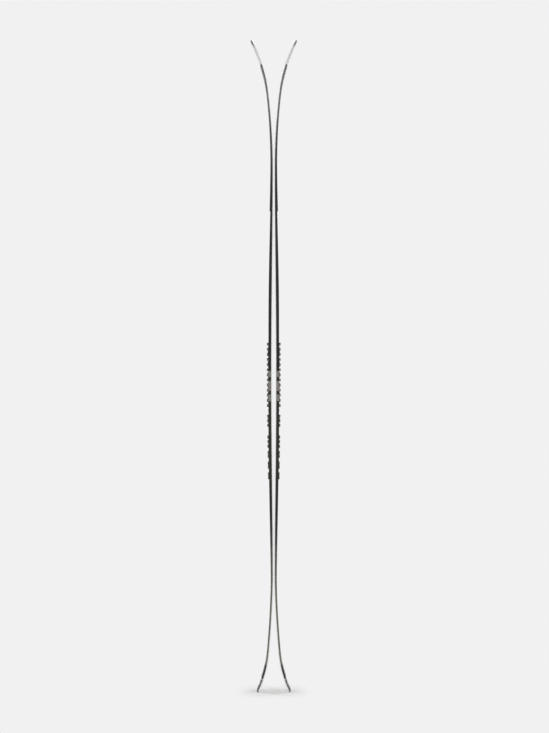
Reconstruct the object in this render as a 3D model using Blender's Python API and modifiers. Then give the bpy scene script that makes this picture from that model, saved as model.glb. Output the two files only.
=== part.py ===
"""A pair of alpine skis standing on their tails, base to base.

Each ski is a bonded sandwich that a press bends to shape. Its pieces are drawn in ski coordinates
and then bent: along is the height from the tail, above is the distance from the running surface
and across is the distance from the ski's centre line. In the world +Z runs up the skis, X runs
from one ski to the other and Y across them. The left ski is at -X and the right ski at +X.
"""

import math

import bmesh
import bpy
from mathutils import Matrix, Vector

MM = 0.001

# Outline of the ski, seen on its top.
SKI_LENGTH = 1800 * MM
SHOVEL_WIDTH = 127 * MM
SHOVEL_NOSE = 160 * MM  # from the tip back to the widest point
TIP_FLAT = 24 * MM
TIP_ROUNDNESS = 2.0
WAIST_WIDTH = 84 * MM
WAIST_AT = 790 * MM  # from the tail
TAIL_WIDTH = 110 * MM
TAIL_NOSE = 130 * MM  # from the tail's end up to its widest point
TAIL_FLAT = 66 * MM
TAIL_ROUNDNESS = 2.6
SIDECUT_EASE = 0.15  # last share of the sidecut, where it turns parallel to the ski

# Side profile: how far the running surface stands off the plane between the two skis.
CONTACT_GAP = 0.5 * MM  # left between the bases where the skis touch
CAMBER = 4.0 * MM
TIP_ROCKER = 38.5 * MM
TIP_ROCKER_LENGTH = 366 * MM
TIP_ROCKER_POWER = 2.12
TIP_KICK = 20.3 * MM
TIP_KICK_LENGTH = 144 * MM
TAIL_ROCKER = 22.7 * MM
TAIL_ROCKER_LENGTH = 322 * MM
TAIL_ROCKER_POWER = 1.62
TAIL_KICK = 19.0 * MM
TAIL_KICK_LENGTH = 107 * MM

# Layers, from the running surface up.
GLUE = 0.15 * MM  # bond line between two layers
BASE_RIM = 1.3 * MM  # base thickness under the edges' flanges
EDGE_WIDTH = 2.2 * MM
FLANGE_WIDTH = 5.0 * MM
FLANGE_THICKNESS = 0.5 * MM
LOWER_LAMINATE = 0.8 * MM
CORE_WAIST = 6.1 * MM
CORE_ENDS = 1.8 * MM
CORE_TAPER_TAIL = (267 * MM, 584 * MM)  # thin until the first height, full from the second
CORE_TAPER_TIP = (223 * MM, 719 * MM)  # the same, measured back from the tip
UPPER_LAMINATE = 0.6 * MM
TOP_SHEET = 0.6 * MM
TOP_BEVEL = 0.35 * MM
SIDEWALL_WIDTH = 8.0 * MM
SIDEWALL_SLANT = math.radians(12)
SIDE_STEP = 0.2 * MM  # steel edge left proud of the layers above it

# Pieces at the two ends.
FIT = 0.3 * MM  # clearance between pieces that meet end to end or are screwed on
TAIL_PROTECTOR_LENGTH = 35 * MM
TAIL_LIP = 2.5 * MM  # at the tail's end the protector reaches down to the running surface
TAIL_NOTCH_WIDTH = 12 * MM
TAIL_NOTCH_DEPTH = 7 * MM
TIP_PROTECTOR_LENGTH = 29 * MM
TIP_PROTECTOR_THIN = 0.9 * MM  # how much thinner it is at the very tip
TIP_INSERT_LENGTH = 41.5 * MM

# Overlays on the top sheet.
DAMPER_INSET = 11 * MM
DAMPER_BEVEL = 1.2 * MM
SHOVEL_DAMPER_LENGTH = 402 * MM
SHOVEL_DAMPER_STEP = 2.1 * MM  # its thickness at the end nearer the boot
SHOVEL_DAMPER_TIP = 0.4 * MM
SHOVEL_DAMPER_SWELL = 0.22, 0.77  # shares of its length, from the tip, where it thickens
SHOVEL_DAMPER_ROUND = 30 * MM
DAMPER_WINDOW_COUNT = 3
DAMPER_WINDOW_LENGTH = 66 * MM
DAMPER_WINDOW_WIDTH = 14 * MM
DAMPER_WINDOW_PITCH = 90 * MM
DAMPER_WINDOW_START = 60 * MM  # from the end nearer the boot
TAIL_DAMPER_LENGTH = 39 * MM
TAIL_DAMPER = 1.5 * MM
TAIL_DAMPER_ROUND = 14 * MM

# Binding tracks. Their places are measured from the boot centre.
BOOT_CENTRE = 778 * MM  # from the tail
TRACK_WIDTH = 60 * MM
TRACK_FLOOR = 0.6 * MM
RAIL_WIDTH = 8.0 * MM
LIP = 2.5 * MM
LIP_THICKNESS = 1.1 * MM
LIP_BEVEL = 0.6 * MM
RACK_WIDTH = 12 * MM
RACK_HEIGHT = 1.6 * MM
RACK_PITCH = 10 * MM
RACK_SLOT = 4.5 * MM
RACK_SLOT_LEVEL = 1.1 * MM
SLOT_LEVEL = 0.7 * MM  # bottom of the gaps between teeth, just above the floor
TRACK_CORNER = 6 * MM
TOE_TRACK_START = 10.5 * MM
TOE_TEETH = 13
TOE_PITCH = 14.1 * MM
TOE_TOOTH = 7.6 * MM
TOE_RAIL = 3.7 * MM
HEEL_TRACK_START = 11.5 * MM
HEEL_TRACK_LENGTH = 179 * MM
HEEL_BLOCK_CENTRES = (28 * MM, 86 * MM, 121.5 * MM, 151.5 * MM, 181.5 * MM)
HEEL_BLOCK_TEETH = (3, 3, 2, 2, 2)
HEEL_BLOCK_PITCHES = (12.5 * MM, 13 * MM, 11.5 * MM, 11.5 * MM, 11.5 * MM)
HEEL_TOOTH = 7.5 * MM
HEEL_NOTCH = 1.4 * MM
HEEL_RAIL_FRONT = 2.8 * MM
HEEL_RAIL_REAR = 1.9 * MM

# Screws, stud and rivets.
SCREW_SPREAD = 32 * MM
TOE_SCREW_TEETH = (3, 11)  # the teeth and blocks that hide the screws, counted from the boot centre
HEEL_SCREW_BLOCKS = (1, 4)
BOSS_DIAMETER = 11 * MM
BOSS_HEIGHT = 1.8 * MM
SCREW_HEAD = 9.2 * MM
SCREW_CONE = 1.6 * MM
SCREW_SHANK = 5.0 * MM
SCREW_POINT = 1.2 * MM
SCREW_ABOVE_LAMINATE = 1.2 * MM
STUD_AT = 1.0 * MM
STUD_HEAD = 7.0 * MM
STUD_DOME = 1.5 * MM
STUD_SHANK = 3.0 * MM
STUD_DEPTH = 4.0 * MM
RIVET_HEAD = 7.0 * MM
RIVET_DOME = 1.0 * MM
RIVET_SHANK = 3.0 * MM
RIVET_SPREAD = 40 * MM
TAIL_RIVETS_AT = 19 * MM
TIP_RIVET_AT = 15 * MM  # back from the tip

# How finely curves are cut into facets.
NOSE_STEPS = 8
END_SPACING = 46 * MM
MIDDLE_SPACING = 125 * MM
CLOSEST_STATIONS = 5 * MM
ROUND_SIDES = 10
HOLE_SIDES = 6
DOME_STEPS = 2

# Levels above the running surface.
FLANGE_BOTTOM = BASE_RIM + GLUE
EDGE_TOP = FLANGE_BOTTOM + FLANGE_THICKNESS
LAMINATE_BOTTOM = EDGE_TOP + GLUE
LAMINATE_TOP = LAMINATE_BOTTOM + LOWER_LAMINATE
CORE_BOTTOM = LAMINATE_TOP + GLUE

# Heights of the places where one piece ends and the next begins.
REAR_CONTACT = TAIL_ROCKER_LENGTH
FRONT_CONTACT = SKI_LENGTH - TIP_ROCKER_LENGTH
SOLE_START = TAIL_LIP + FIT
BODY_START = TAIL_PROTECTOR_LENGTH + FIT
TAIL_DAMPER_END = BODY_START + TAIL_DAMPER_LENGTH
CORE_START = CORE_TAPER_TAIL[0]
CORE_END = SKI_LENGTH - CORE_TAPER_TIP[0]
BODY_END = SKI_LENGTH - TIP_PROTECTOR_LENGTH - FIT
INSERT_START = BODY_END - TIP_INSERT_LENGTH
SHOVEL_DAMPER_START = INSERT_START - SHOVEL_DAMPER_LENGTH


def ease(share):
    """Goes from 0 to 1 with a flat start and end."""
    return 0.5 - 0.5 * math.cos(math.pi * min(max(share, 0), 1))


def sidecut(share):
    """Widening at a share of the way from the waist to a wide point: an arc, then eased flat."""
    arc = 1 - SIDECUT_EASE
    past = max(share - arc, 0)
    return (min(share, arc) ** 2 + 2 * arc * past - arc / SIDECUT_EASE * past**2) / arc


def nose(reach, roundness, flat, wide):
    """Half width of a rounded end, from its wide point at reach 0 to its flat at reach 1."""
    return flat / 2 + (wide - flat) / 2 * (1 - min(reach, 1) ** roundness) ** (1 / roundness)


def half_width(along, inset=0.0):
    """Half width of the ski's outline, moved inwards all round by inset."""
    shovel = SKI_LENGTH - SHOVEL_NOSE
    if along < TAIL_NOSE:
        reach = (TAIL_NOSE - along) / (TAIL_NOSE - inset)
        return nose(reach, TAIL_ROUNDNESS, TAIL_FLAT, TAIL_WIDTH) - inset
    if along > shovel:
        reach = (along - shovel) / (SHOVEL_NOSE - inset)
        return nose(reach, TIP_ROUNDNESS, TIP_FLAT, SHOVEL_WIDTH) - inset
    if along < WAIST_AT:
        wide, share = TAIL_WIDTH, (WAIST_AT - along) / (WAIST_AT - TAIL_NOSE)
    else:
        wide, share = SHOVEL_WIDTH, (along - WAIST_AT) / (shovel - WAIST_AT)
    return WAIST_WIDTH / 2 + (wide - WAIST_WIDTH) / 2 * sidecut(share) - inset


def turn_up(past, rocker, length, power, kick, kick_length):
    """Rise past a contact point: a long slow rocker, and a round kick at its end."""
    into_kick = max(past - (length - kick_length), 0) / kick_length
    return rocker * (past / length) ** power + kick * into_kick**2


def base_line(along):
    """Distance of the running surface from the plane between the skis."""
    gap = CONTACT_GAP / 2
    if along > FRONT_CONTACT:
        past = along - FRONT_CONTACT
        tip = (TIP_ROCKER, TIP_ROCKER_LENGTH, TIP_ROCKER_POWER, TIP_KICK, TIP_KICK_LENGTH)
        return gap + turn_up(past, *tip)
    if along < REAR_CONTACT:
        past = REAR_CONTACT - along
        tail = (TAIL_ROCKER, TAIL_ROCKER_LENGTH, TAIL_ROCKER_POWER, TAIL_KICK, TAIL_KICK_LENGTH)
        return gap + turn_up(past, *tail)
    reach = (2 * along - REAR_CONTACT - FRONT_CONTACT) / (FRONT_CONTACT - REAR_CONTACT)
    return gap + CAMBER * (1 - reach**2) ** 2


def base_slope(along, step=0.01 * MM):
    """How fast the running surface moves away from that plane."""
    return (base_line(along + step) - base_line(along - step)) / (2 * step)


def core_height(along):
    """Height of the core and the sidewalls."""
    tail_start, tail_full = CORE_TAPER_TAIL
    tip_start, tip_full = CORE_TAPER_TIP
    from_tail = ease((along - tail_start) / (tail_full - tail_start))
    from_tip = ease((SKI_LENGTH - along - tip_start) / (tip_full - tip_start))
    return CORE_ENDS + (CORE_WAIST - CORE_ENDS) * min(from_tail, from_tip)


def core_top(along):
    return CORE_BOTTOM + core_height(along)


def sheet_bottom(along):
    return core_top(along) + GLUE + UPPER_LAMINATE + GLUE


def sheet_top(along):
    return sheet_bottom(along) + TOP_SHEET


def upper_inset(along):
    """How far the slanted sidewall brings the upper layers in from the edge."""
    return SIDE_STEP + core_height(along) * math.tan(SIDEWALL_SLANT)


def ski_point(side, along, above, across):
    """World point of a point in ski coordinates. side is 1 on the right ski and -1 on the left."""
    slope = base_slope(along)
    lean = above / math.hypot(1, slope)
    return Vector((side * (base_line(along) + lean), across, along - slope * lean))


def evenly(start, end, spacing):
    count = math.ceil((end - start) / spacing)
    return [start + (end - start) * i / count for i in range(count + 1)]


def shared_stations():
    """Heights where every layer that passes gets a cross-section, so that layers stay parallel."""
    marks = [BODY_START, TAIL_DAMPER_END, CORE_START]
    marks += [SHOVEL_DAMPER_START, CORE_END, INSERT_START, BODY_END]
    shovel = SKI_LENGTH - SHOVEL_NOSE
    rounds = [math.sin(math.pi / 2 * i / NOSE_STEPS) for i in range(NOSE_STEPS + 1)]
    filling = [TAIL_NOSE * (1 - reach) for reach in rounds]
    filling += evenly(TAIL_NOSE, REAR_CONTACT, END_SPACING)
    filling += evenly(REAR_CONTACT, FRONT_CONTACT, MIDDLE_SPACING)
    filling += evenly(FRONT_CONTACT, shovel, END_SPACING)
    filling += [shovel + SHOVEL_NOSE * reach for reach in rounds]
    for along in filling:
        if all(abs(along - mark) > CLOSEST_STATIONS for mark in marks):
            marks.append(along)
    return sorted(marks)


STATIONS = shared_stations()


def stations(start, end):
    """The shared stations inside a piece, with the piece's own two ends."""
    margin = CLOSEST_STATIONS / 5
    inside = [along for along in STATIONS if start + margin < along < end - margin]
    return [start, *inside, end]


for old in list(bpy.data.objects):
    bpy.data.objects.remove(old)

skis = bpy.data.collections.new("alpine_skis")
bpy.context.scene.collection.children.link(skis)
cutters = bpy.data.collections.new("cutters")
cutters.hide_render = True
bpy.context.scene.collection.children.link(cutters)


def finish(name, red, green, blue, roughness, metallic=0.0):
    made = bpy.data.materials.new(name)
    made.use_nodes = True
    shader = made.node_tree.nodes["Principled BSDF"]
    shader.inputs["Base Color"].default_value = (red, green, blue, 1)
    shader.inputs["Roughness"].default_value = roughness
    shader.inputs["Metallic"].default_value = metallic
    made.diffuse_color = (red, green, blue, 1)
    return made


SOLE = finish("sintered_polyethylene", 0.72, 0.73, 0.72, 0.45)
STEEL = finish("ground_steel", 0.72, 0.72, 0.72, 0.25, 1)
GLASS_SHEET = finish("glass_laminate", 0.66, 0.68, 0.62, 0.5)
METAL_SHEET = finish("aluminium_laminate", 0.10, 0.10, 0.10, 0.4, 0.6)
ASH_WOOD = finish("ash_wood", 0.55, 0.38, 0.20, 0.6)
SIDEWALL_PLASTIC = finish("black_sidewall_plastic", 0.022, 0.023, 0.020, 0.45)
TOP_PLASTIC = finish("black_top_sheet", 0.02, 0.02, 0.02, 0.3)
PALE_PLASTIC = finish("pale_tip_plastic", 0.42, 0.42, 0.41, 0.4)
FILLER_PLASTIC = finish("grey_filler_plastic", 0.2, 0.2, 0.2, 0.5)
END_PLASTIC = finish("dark_grey_end_plastic", 0.06, 0.06, 0.055, 0.5)
DAMPER_PLASTIC = finish("black_damper_plastic", 0.015, 0.015, 0.015, 0.4)
TRACK_PLASTIC = finish("black_track_plastic", 0.03, 0.03, 0.028, 0.5)
SCREW_STEEL = finish("zinc_plated_steel", 0.5, 0.5, 0.5, 0.35, 1)


def add_object(mesh, name, material, parent):
    made = bpy.data.objects.new(name, mesh)
    mesh.materials.append(material)
    skis.objects.link(made)
    made.parent = parent
    return made


def mesh_of(bm, name):
    """Turns a bmesh of closed shapes into a mesh with outward faces and smooth round parts."""
    bm.normal_update()
    bmesh.ops.recalc_face_normals(bm, faces=bm.faces)
    mesh = bpy.data.meshes.new(name)
    bm.to_mesh(mesh)
    bm.free()
    mesh.shade_smooth()
    mesh.set_sharp_from_angle(angle=math.radians(30))
    return mesh


def lofted(section, start, end, side):
    """Skins a cross-section, given as (above, across) points at each height, into a closed shape."""
    bm = bmesh.new()
    rings = []
    for along in stations(start, end):
        points = [ski_point(side, along, above, across) for above, across in section(along)]
        rings.append([bm.verts.new(point) for point in points])
    for lower, upper in zip(rings, rings[1:]):
        for i in range(len(lower)):
            bm.faces.new((lower[i - 1], lower[i], upper[i], upper[i - 1]))
    bm.faces.new(rings[0])
    bm.faces.new(rings[-1])
    return bm


def slab(bottom, top, half, top_half=None):
    """Cross-section with a flat bottom and top, whose sides may slant."""
    top_half = half if top_half is None else top_half
    return [(bottom, -half), (bottom, half), (top, top_half), (top, -top_half)]


def bend(bm, side):
    """Moves shapes drawn flat, with x above, y across and z along, onto the bent ski."""
    for vert in bm.verts:
        vert.co = ski_point(side, vert.co.z, vert.co.x, vert.co.y)


def add_box(bm, above, across, along, turn=0.0):
    """Flat box from its (low, high) pair in each direction, turned about its own upright."""
    pairs = (above, across, along)
    centre = Matrix.Translation([(low + high) / 2 for low, high in pairs])
    size = Matrix.Diagonal([high - low for low, high in pairs]).to_4x4()
    matrix = centre @ Matrix.Rotation(turn, 4, "X") @ size
    bmesh.ops.create_cube(bm, size=1, matrix=matrix)


def add_peg(bm, along, across, bottom, top, bottom_radius, top_radius, sides=ROUND_SIDES):
    """Flat-drawn peg or cone that stands upright on the ski."""
    place = Matrix.Translation(((bottom + top) / 2, across, along))
    place = place @ Matrix.Rotation(math.pi / 2, 4, "Y")
    bmesh.ops.create_cone(
        bm,
        cap_ends=True,
        segments=sides,
        radius1=bottom_radius,
        radius2=top_radius,
        depth=top - bottom,
        matrix=place,
    )


def store_cutter(bm, name, parent):
    """Keeps a finished tool out of the render."""
    tool = bpy.data.objects.new(name, mesh_of(bm, name))
    cutters.objects.link(tool)
    tool.parent = parent
    tool.hide_render = True
    tool.display_type = "WIRE"
    return tool


def add_cutter(bm, name, side, parent):
    """Bends a flat-drawn tool onto the ski."""
    bend(bm, side)
    return store_cutter(bm, name, parent)


def combine(target, tool, operation):
    boolean = target.modifiers.new(tool.name, "BOOLEAN")
    boolean.operation = operation
    boolean.object = tool


def upright_frame(side, along, above, across):
    """Matrix at a place on the ski whose Z axis points straight out of the top sheet."""
    start = ski_point(side, along, above, across)
    out = (ski_point(side, along, above + MM, across) - start).normalized()
    sideways = Vector((0, 1, 0))
    up = sideways.cross(out)
    turn = Matrix((up, sideways, out)).transposed().to_4x4()
    return Matrix.Translation(start) @ turn


def turned(name, profile, frame, material, parent):
    """Round piece, turned from (radius, height) points that run from its top down to its end."""
    mesh = bpy.data.meshes.new(name)
    steps = range(len(profile) - 1)
    mesh.from_pydata([(radius, 0, height) for radius, height in profile], [(i, i + 1) for i in steps], [])
    made = add_object(mesh, name, material, parent)
    made.matrix_world = frame
    screw = made.modifiers.new("turn", "SCREW")
    screw.axis = "Z"
    screw.steps = screw.render_steps = ROUND_SIDES
    screw.use_merge_vertices = True
    screw.merge_threshold = 0.01 * MM
    screw.use_smooth_shade = True
    return made


def dome(radius, height):
    """Profile of a low round head, from its crown to its rim."""
    turns = [math.pi / 2 * i / DOME_STEPS for i in range(DOME_STEPS + 1)]
    return [(radius * math.sin(turn), height * math.cos(turn)) for turn in turns]


def base_section(along):
    """Sole with a rebate each side for the flange of the steel edge."""
    rim = half_width(along, EDGE_WIDTH + GLUE)
    full = half_width(along, EDGE_WIDTH + FLANGE_WIDTH + GLUE)
    right = [(0, rim), (BASE_RIM, rim), (BASE_RIM, full), (EDGE_TOP, full)]
    return right + [(above, -across) for above, across in reversed(right)]


def edge_section(hand):
    """L-shaped steel edge. hand is 1 or -1 for the side of the ski that it is on."""

    def section(along):
        outer = half_width(along)
        inner = half_width(along, EDGE_WIDTH)
        anchor = half_width(along, EDGE_WIDTH + FLANGE_WIDTH)
        corners = [(0, inner), (0, outer), (EDGE_TOP, outer), (EDGE_TOP, anchor)]
        corners += [(FLANGE_BOTTOM, anchor), (FLANGE_BOTTOM, inner)]
        return [(above, hand * across) for above, across in corners]

    return section


def lower_laminate_section(along):
    return slab(LAMINATE_BOTTOM, LAMINATE_TOP, half_width(along, SIDE_STEP))


def core_section(along):
    """The core lies between the sidewalls."""
    half = half_width(along, SIDEWALL_WIDTH + GLUE)
    return slab(CORE_BOTTOM, core_top(along), half)


def filler_section(along):
    """Core level towards the ends, where no sidewall runs and a filler reaches the ski's sides."""
    low, high = half_width(along, SIDE_STEP), half_width(along, upper_inset(along))
    return slab(CORE_BOTTOM, core_top(along), low, high)


def sidewall_section(hand):
    def section(along):
        inner = half_width(along, SIDEWALL_WIDTH)
        low, high = half_width(along, SIDE_STEP), half_width(along, upper_inset(along))
        corners = [(CORE_BOTTOM, inner), (CORE_BOTTOM, low), (core_top(along), high)]
        corners.append((core_top(along), inner))
        return [(above, hand * across) for above, across in corners]

    return section


def upper_laminate_section(along):
    bottom = core_top(along) + GLUE
    return slab(bottom, bottom + UPPER_LAMINATE, half_width(along, upper_inset(along)))


def top_sheet_section(along):
    """Top sheet with its long sides bevelled."""
    inset = upper_inset(along)
    wide, narrow = half_width(along, inset), half_width(along, inset + TOP_BEVEL)
    top = sheet_top(along)
    right = [(sheet_bottom(along), wide), (top - TOP_BEVEL, wide), (top, narrow)]
    return right + [(above, -across) for above, across in reversed(right)]


def tail_protector_section(along):
    """Block of the ski's full thickness, before its underside is cut away for the sole."""
    low, high = half_width(along, SIDE_STEP), half_width(along, upper_inset(along))
    return slab(0, sheet_top(along), low, high)


def sole_recess_section(along):
    """What the sole, the edges and the lower laminate take out of the tail protector."""
    return slab(-MM, CORE_BOTTOM, half_width(along) + MM)


def tip_protector_section(along):
    """Wedge that gets thinner towards the very tip."""
    reach = 1 - (SKI_LENGTH - along) / TIP_PROTECTOR_LENGTH
    low, high = half_width(along, SIDE_STEP), half_width(along, upper_inset(along))
    return slab(CORE_BOTTOM, sheet_top(along) - TIP_PROTECTOR_THIN * reach, low, high)


def rounded_end(distance, radius):
    """Share of the full width at a distance from the end of a strip with a round end."""
    return math.sqrt(1 - (1 - min(distance / radius, 1)) ** 2)


def overlay_section(along, half, thickness):
    """Strip bonded to the top sheet, with bevelled long sides."""
    bottom = sheet_top(along) + GLUE
    bevel = min(DAMPER_BEVEL, thickness / 2)
    top = bottom + thickness
    right = [(bottom, half), (top - bevel, half), (top, half - bevel)]
    return right + [(above, -across) for above, across in reversed(right)]


def shovel_damper_section(along):
    """Long wedge that swells towards its step near the boot."""
    share = (INSERT_START - along) / SHOVEL_DAMPER_LENGTH
    thin, full = SHOVEL_DAMPER_SWELL
    swell = (SHOVEL_DAMPER_STEP - SHOVEL_DAMPER_TIP) * ease((share - thin) / (full - thin))
    blunt = 0.6 + 0.4 * rounded_end(along - SHOVEL_DAMPER_START, SHOVEL_DAMPER_ROUND)
    half = half_width(along, DAMPER_INSET) * blunt
    return overlay_section(along, half, SHOVEL_DAMPER_TIP + swell)


def tail_damper_section(along):
    """Short plate that ramps up from its front end."""
    from_front = TAIL_DAMPER_END - along
    ramp = 0.4 + 0.6 * rounded_end(from_front, TAIL_DAMPER_ROUND)
    half = half_width(along, DAMPER_INSET) * ramp
    return overlay_section(along, half, TAIL_DAMPER * ramp)


def track_section(rail_height):
    """Track floor with a lipped rail each side and a low rack along the middle."""

    def section(along):
        seat = sheet_top(along) + FIT
        half, floor, top = TRACK_WIDTH / 2, seat + TRACK_FLOOR, seat + rail_height(along)
        right = [
            (seat, half - LIP),
            (top - LIP_THICKNESS, half - LIP),
            (top - LIP_THICKNESS, half),
            (top - LIP_BEVEL, half),
            (top, half - LIP_BEVEL),
            (top, half - RAIL_WIDTH),
            (floor, half - RAIL_WIDTH),
            (floor, RACK_WIDTH / 2),
            (seat + RACK_HEIGHT, RACK_WIDTH / 2),
        ]
        return right + [(above, -across) for above, across in reversed(right)]

    return section


def rail_slots(bm, gaps, level, seat):
    """Cuts each (low, high) gap through both rails, down to its level above the track's seat."""
    inner, outer = TRACK_WIDTH / 2 - RAIL_WIDTH - FIT, TRACK_WIDTH / 2 + LIP
    for gap in gaps:
        above = (seat + level(sum(gap) / 2), seat + 2 * TOE_RAIL)
        add_box(bm, above, (inner, outer), gap)
        add_box(bm, above, (-outer, -inner), gap)


def bending_gaps(bm, gaps, level, seat):
    """Cuts each (low, high) gap across the whole track, so that it bends with the ski."""
    outer = TRACK_WIDTH / 2 + LIP
    for gap in gaps:
        add_box(bm, (seat + level(sum(gap) / 2), seat + 2 * TOE_RAIL), (-outer, outer), gap)


def rack_slots(bm, low, high, seat):
    """Row of cross slots that turns the middle rib into a rack."""
    half = RACK_WIDTH / 2 + FIT
    above = (seat + RACK_SLOT_LEVEL, seat + 2 * RACK_HEIGHT)
    count = math.floor((high - low - RACK_PITCH) / RACK_PITCH)
    first = (low + high - (count - 1) * RACK_PITCH) / 2
    for i in range(count):
        middle = first + i * RACK_PITCH
        add_box(bm, above, (-half, half), (middle - RACK_SLOT / 2, middle + RACK_SLOT / 2))


def corner_cuts(bm, low, high, seat):
    """Turned boxes that take the four plan corners off a track."""
    half = TRACK_WIDTH / 2
    outwards = TRACK_CORNER / math.sqrt(2) - TRACK_CORNER / 2
    for end, along_hand in ((low, -1), (high, 1)):
        for hand in (-1, 1):
            middle = hand * (half + outwards), end + along_hand * outwards
            across, along = [(place - TRACK_CORNER, place + TRACK_CORNER) for place in middle]
            add_box(bm, (seat - 2 * MM, seat + 2 * TOE_RAIL), across, along, math.pi / 4)


def screw_places(offsets):
    """(along, across) of each screw of a track."""
    return [(BOOT_CENTRE + offset, hand * SCREW_SPREAD / 2) for offset in offsets for hand in (-1, 1)]


TOE_TRACK = (
    BOOT_CENTRE + TOE_TRACK_START,
    BOOT_CENTRE + TOE_TRACK_START + (TOE_TEETH - 1) * TOE_PITCH + TOE_TOOTH,
)
HEEL_TRACK = (
    BOOT_CENTRE - HEEL_TRACK_START - HEEL_TRACK_LENGTH,
    BOOT_CENTRE - HEEL_TRACK_START,
)
TOE_SCREW_PLACES = screw_places(
    [TOE_TRACK_START + (tooth - 1) * TOE_PITCH + TOE_TOOTH / 2 for tooth in TOE_SCREW_TEETH]
)
HEEL_SCREW_PLACES = screw_places([-HEEL_BLOCK_CENTRES[block - 1] for block in HEEL_SCREW_BLOCKS])
TAIL_RIVET_PLACES = [(TAIL_RIVETS_AT, hand * RIVET_SPREAD / 2) for hand in (-1, 1)]
TIP_RIVET_PLACES = [(SKI_LENGTH - TIP_RIVET_AT, 0)]
STUD_PLACE = (BOOT_CENTRE + STUD_AT, 0)


def toe_gaps():
    """Gaps between the teeth of the toe track."""
    start, end = TOE_TRACK
    teeth = [start + i * TOE_PITCH for i in range(TOE_TEETH)]
    return [(tooth + TOE_TOOTH, following) for tooth, following in zip(teeth, teeth[1:])]


def heel_gaps():
    """Deep gaps between the blocks of the heel track, and notches inside each block."""
    deep, shallow = [], []
    low, high = HEEL_TRACK
    behind = high + FIT
    for centre, teeth, pitch in zip(HEEL_BLOCK_CENTRES, HEEL_BLOCK_TEETH, HEEL_BLOCK_PITCHES):
        length = (teeth - 1) * pitch + HEEL_TOOTH
        front = BOOT_CENTRE - centre + length / 2
        deep.append((front, behind))
        for i in range(1, teeth):
            tooth = front - i * pitch
            shallow.append((tooth, tooth + pitch - HEEL_TOOTH))
        behind = front - length
    deep.append((low - FIT, behind))
    return [(start, end) for start, end in deep if end - start > 2 * FIT], shallow


def heel_rail(along):
    low, high = HEEL_TRACK
    return HEEL_RAIL_REAR + (HEEL_RAIL_FRONT - HEEL_RAIL_REAR) * (along - low) / (high - low)


def make_track(ski, side, parent, name, track, rail_height, places, cuts):
    """Toothed binding track: a lofted blank with bosses added, then slots and holes cut."""
    low, high = track
    seat = sheet_top((low + high) / 2) + FIT
    blank = lofted(track_section(rail_height), low, high, side)
    made = add_object(mesh_of(blank, name), f"{ski}_{name}", TRACK_PLASTIC, parent)
    bosses = bmesh.new()
    sinks = bmesh.new()
    for along, across in places:
        floor, top = seat + TRACK_FLOOR / 2, seat + BOSS_HEIGHT
        add_peg(bosses, along, across, floor, top, BOSS_DIAMETER / 2, BOSS_DIAMETER / 2)
        # The sink is the screw's cone, widened and drawn on past both of its ends.
        past = MM / 2
        widening = past * (SCREW_HEAD - SCREW_SHANK) / 2 / SCREW_CONE
        shank, head = SCREW_SHANK / 2 + FIT - widening, SCREW_HEAD / 2 + FIT + widening
        add_peg(sinks, along, across, top - SCREW_CONE - past, top + past, shank, head)
    combine(made, add_cutter(bosses, f"{ski}_{name}_bosses", side, parent), "UNION")
    tools = bmesh.new()
    for slot, gaps, level in cuts:
        slot(tools, gaps, level, seat)
    combine(made, add_cutter(tools, f"{ski}_{name}_slots", side, parent), "DIFFERENCE")
    tools = bmesh.new()
    rack_slots(tools, low, high, seat)
    corner_cuts(tools, low, high, seat)
    combine(made, add_cutter(tools, f"{ski}_{name}_rack", side, parent), "DIFFERENCE")
    combine(made, add_cutter(sinks, f"{ski}_{name}_sinks", side, parent), "DIFFERENCE")
    return made


def screw_profile(length):
    """Countersunk screw, with its origin at the top of the head."""
    shank = SCREW_SHANK / 2
    return [
        (0, 0),
        (SCREW_HEAD / 2, 0),
        (shank, -SCREW_CONE),
        (shank, SCREW_POINT - length),
        (0, -length),
    ]


def headed_pin(head, head_height, shank, length):
    """Domed head on a plain shank, with its origin under the head."""
    return dome(head / 2, head_height) + [(shank / 2, 0), (shank / 2, -length), (0, -length)]


def add_hole(bm, along, across, bottom, top, shank):
    """Few-sided hole that leaves the fit clearance round a shank at the middle of each side."""
    radius = (shank / 2 + FIT) / math.cos(math.pi / HOLE_SIDES)
    add_peg(bm, along, across, bottom, top, radius, radius, HOLE_SIDES)


def screw_holes(ski, side, parent):
    """Pilot holes through everything that the track screws and the centre stud pass."""
    tools = bmesh.new()
    bottom = CORE_BOTTOM + SCREW_ABOVE_LAMINATE - FIT
    for along, across in TOE_SCREW_PLACES + HEEL_SCREW_PLACES:
        add_hole(tools, along, across, bottom, sheet_top(along) + FIT + BOSS_HEIGHT / 2, SCREW_SHANK)
    along, across = STUD_PLACE
    top = sheet_top(along)
    add_hole(tools, along, across, top - STUD_DEPTH - FIT, top + MM, STUD_SHANK)
    return add_cutter(tools, f"{ski}_screw_holes", side, parent)


def rivet_holes(ski, side, parent):
    tools = bmesh.new()
    for along, across in TAIL_RIVET_PLACES + TIP_RIVET_PLACES:
        add_hole(tools, along, across, CORE_BOTTOM - GLUE, sheet_top(along) + MM, RIVET_SHANK)
    return add_cutter(tools, f"{ski}_rivet_holes", side, parent)


def protector_top(along):
    """Top of whichever protector is at this height."""
    section = tip_protector_section if along > FRONT_CONTACT else tail_protector_section
    return max(above for above, across in section(along))


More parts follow.
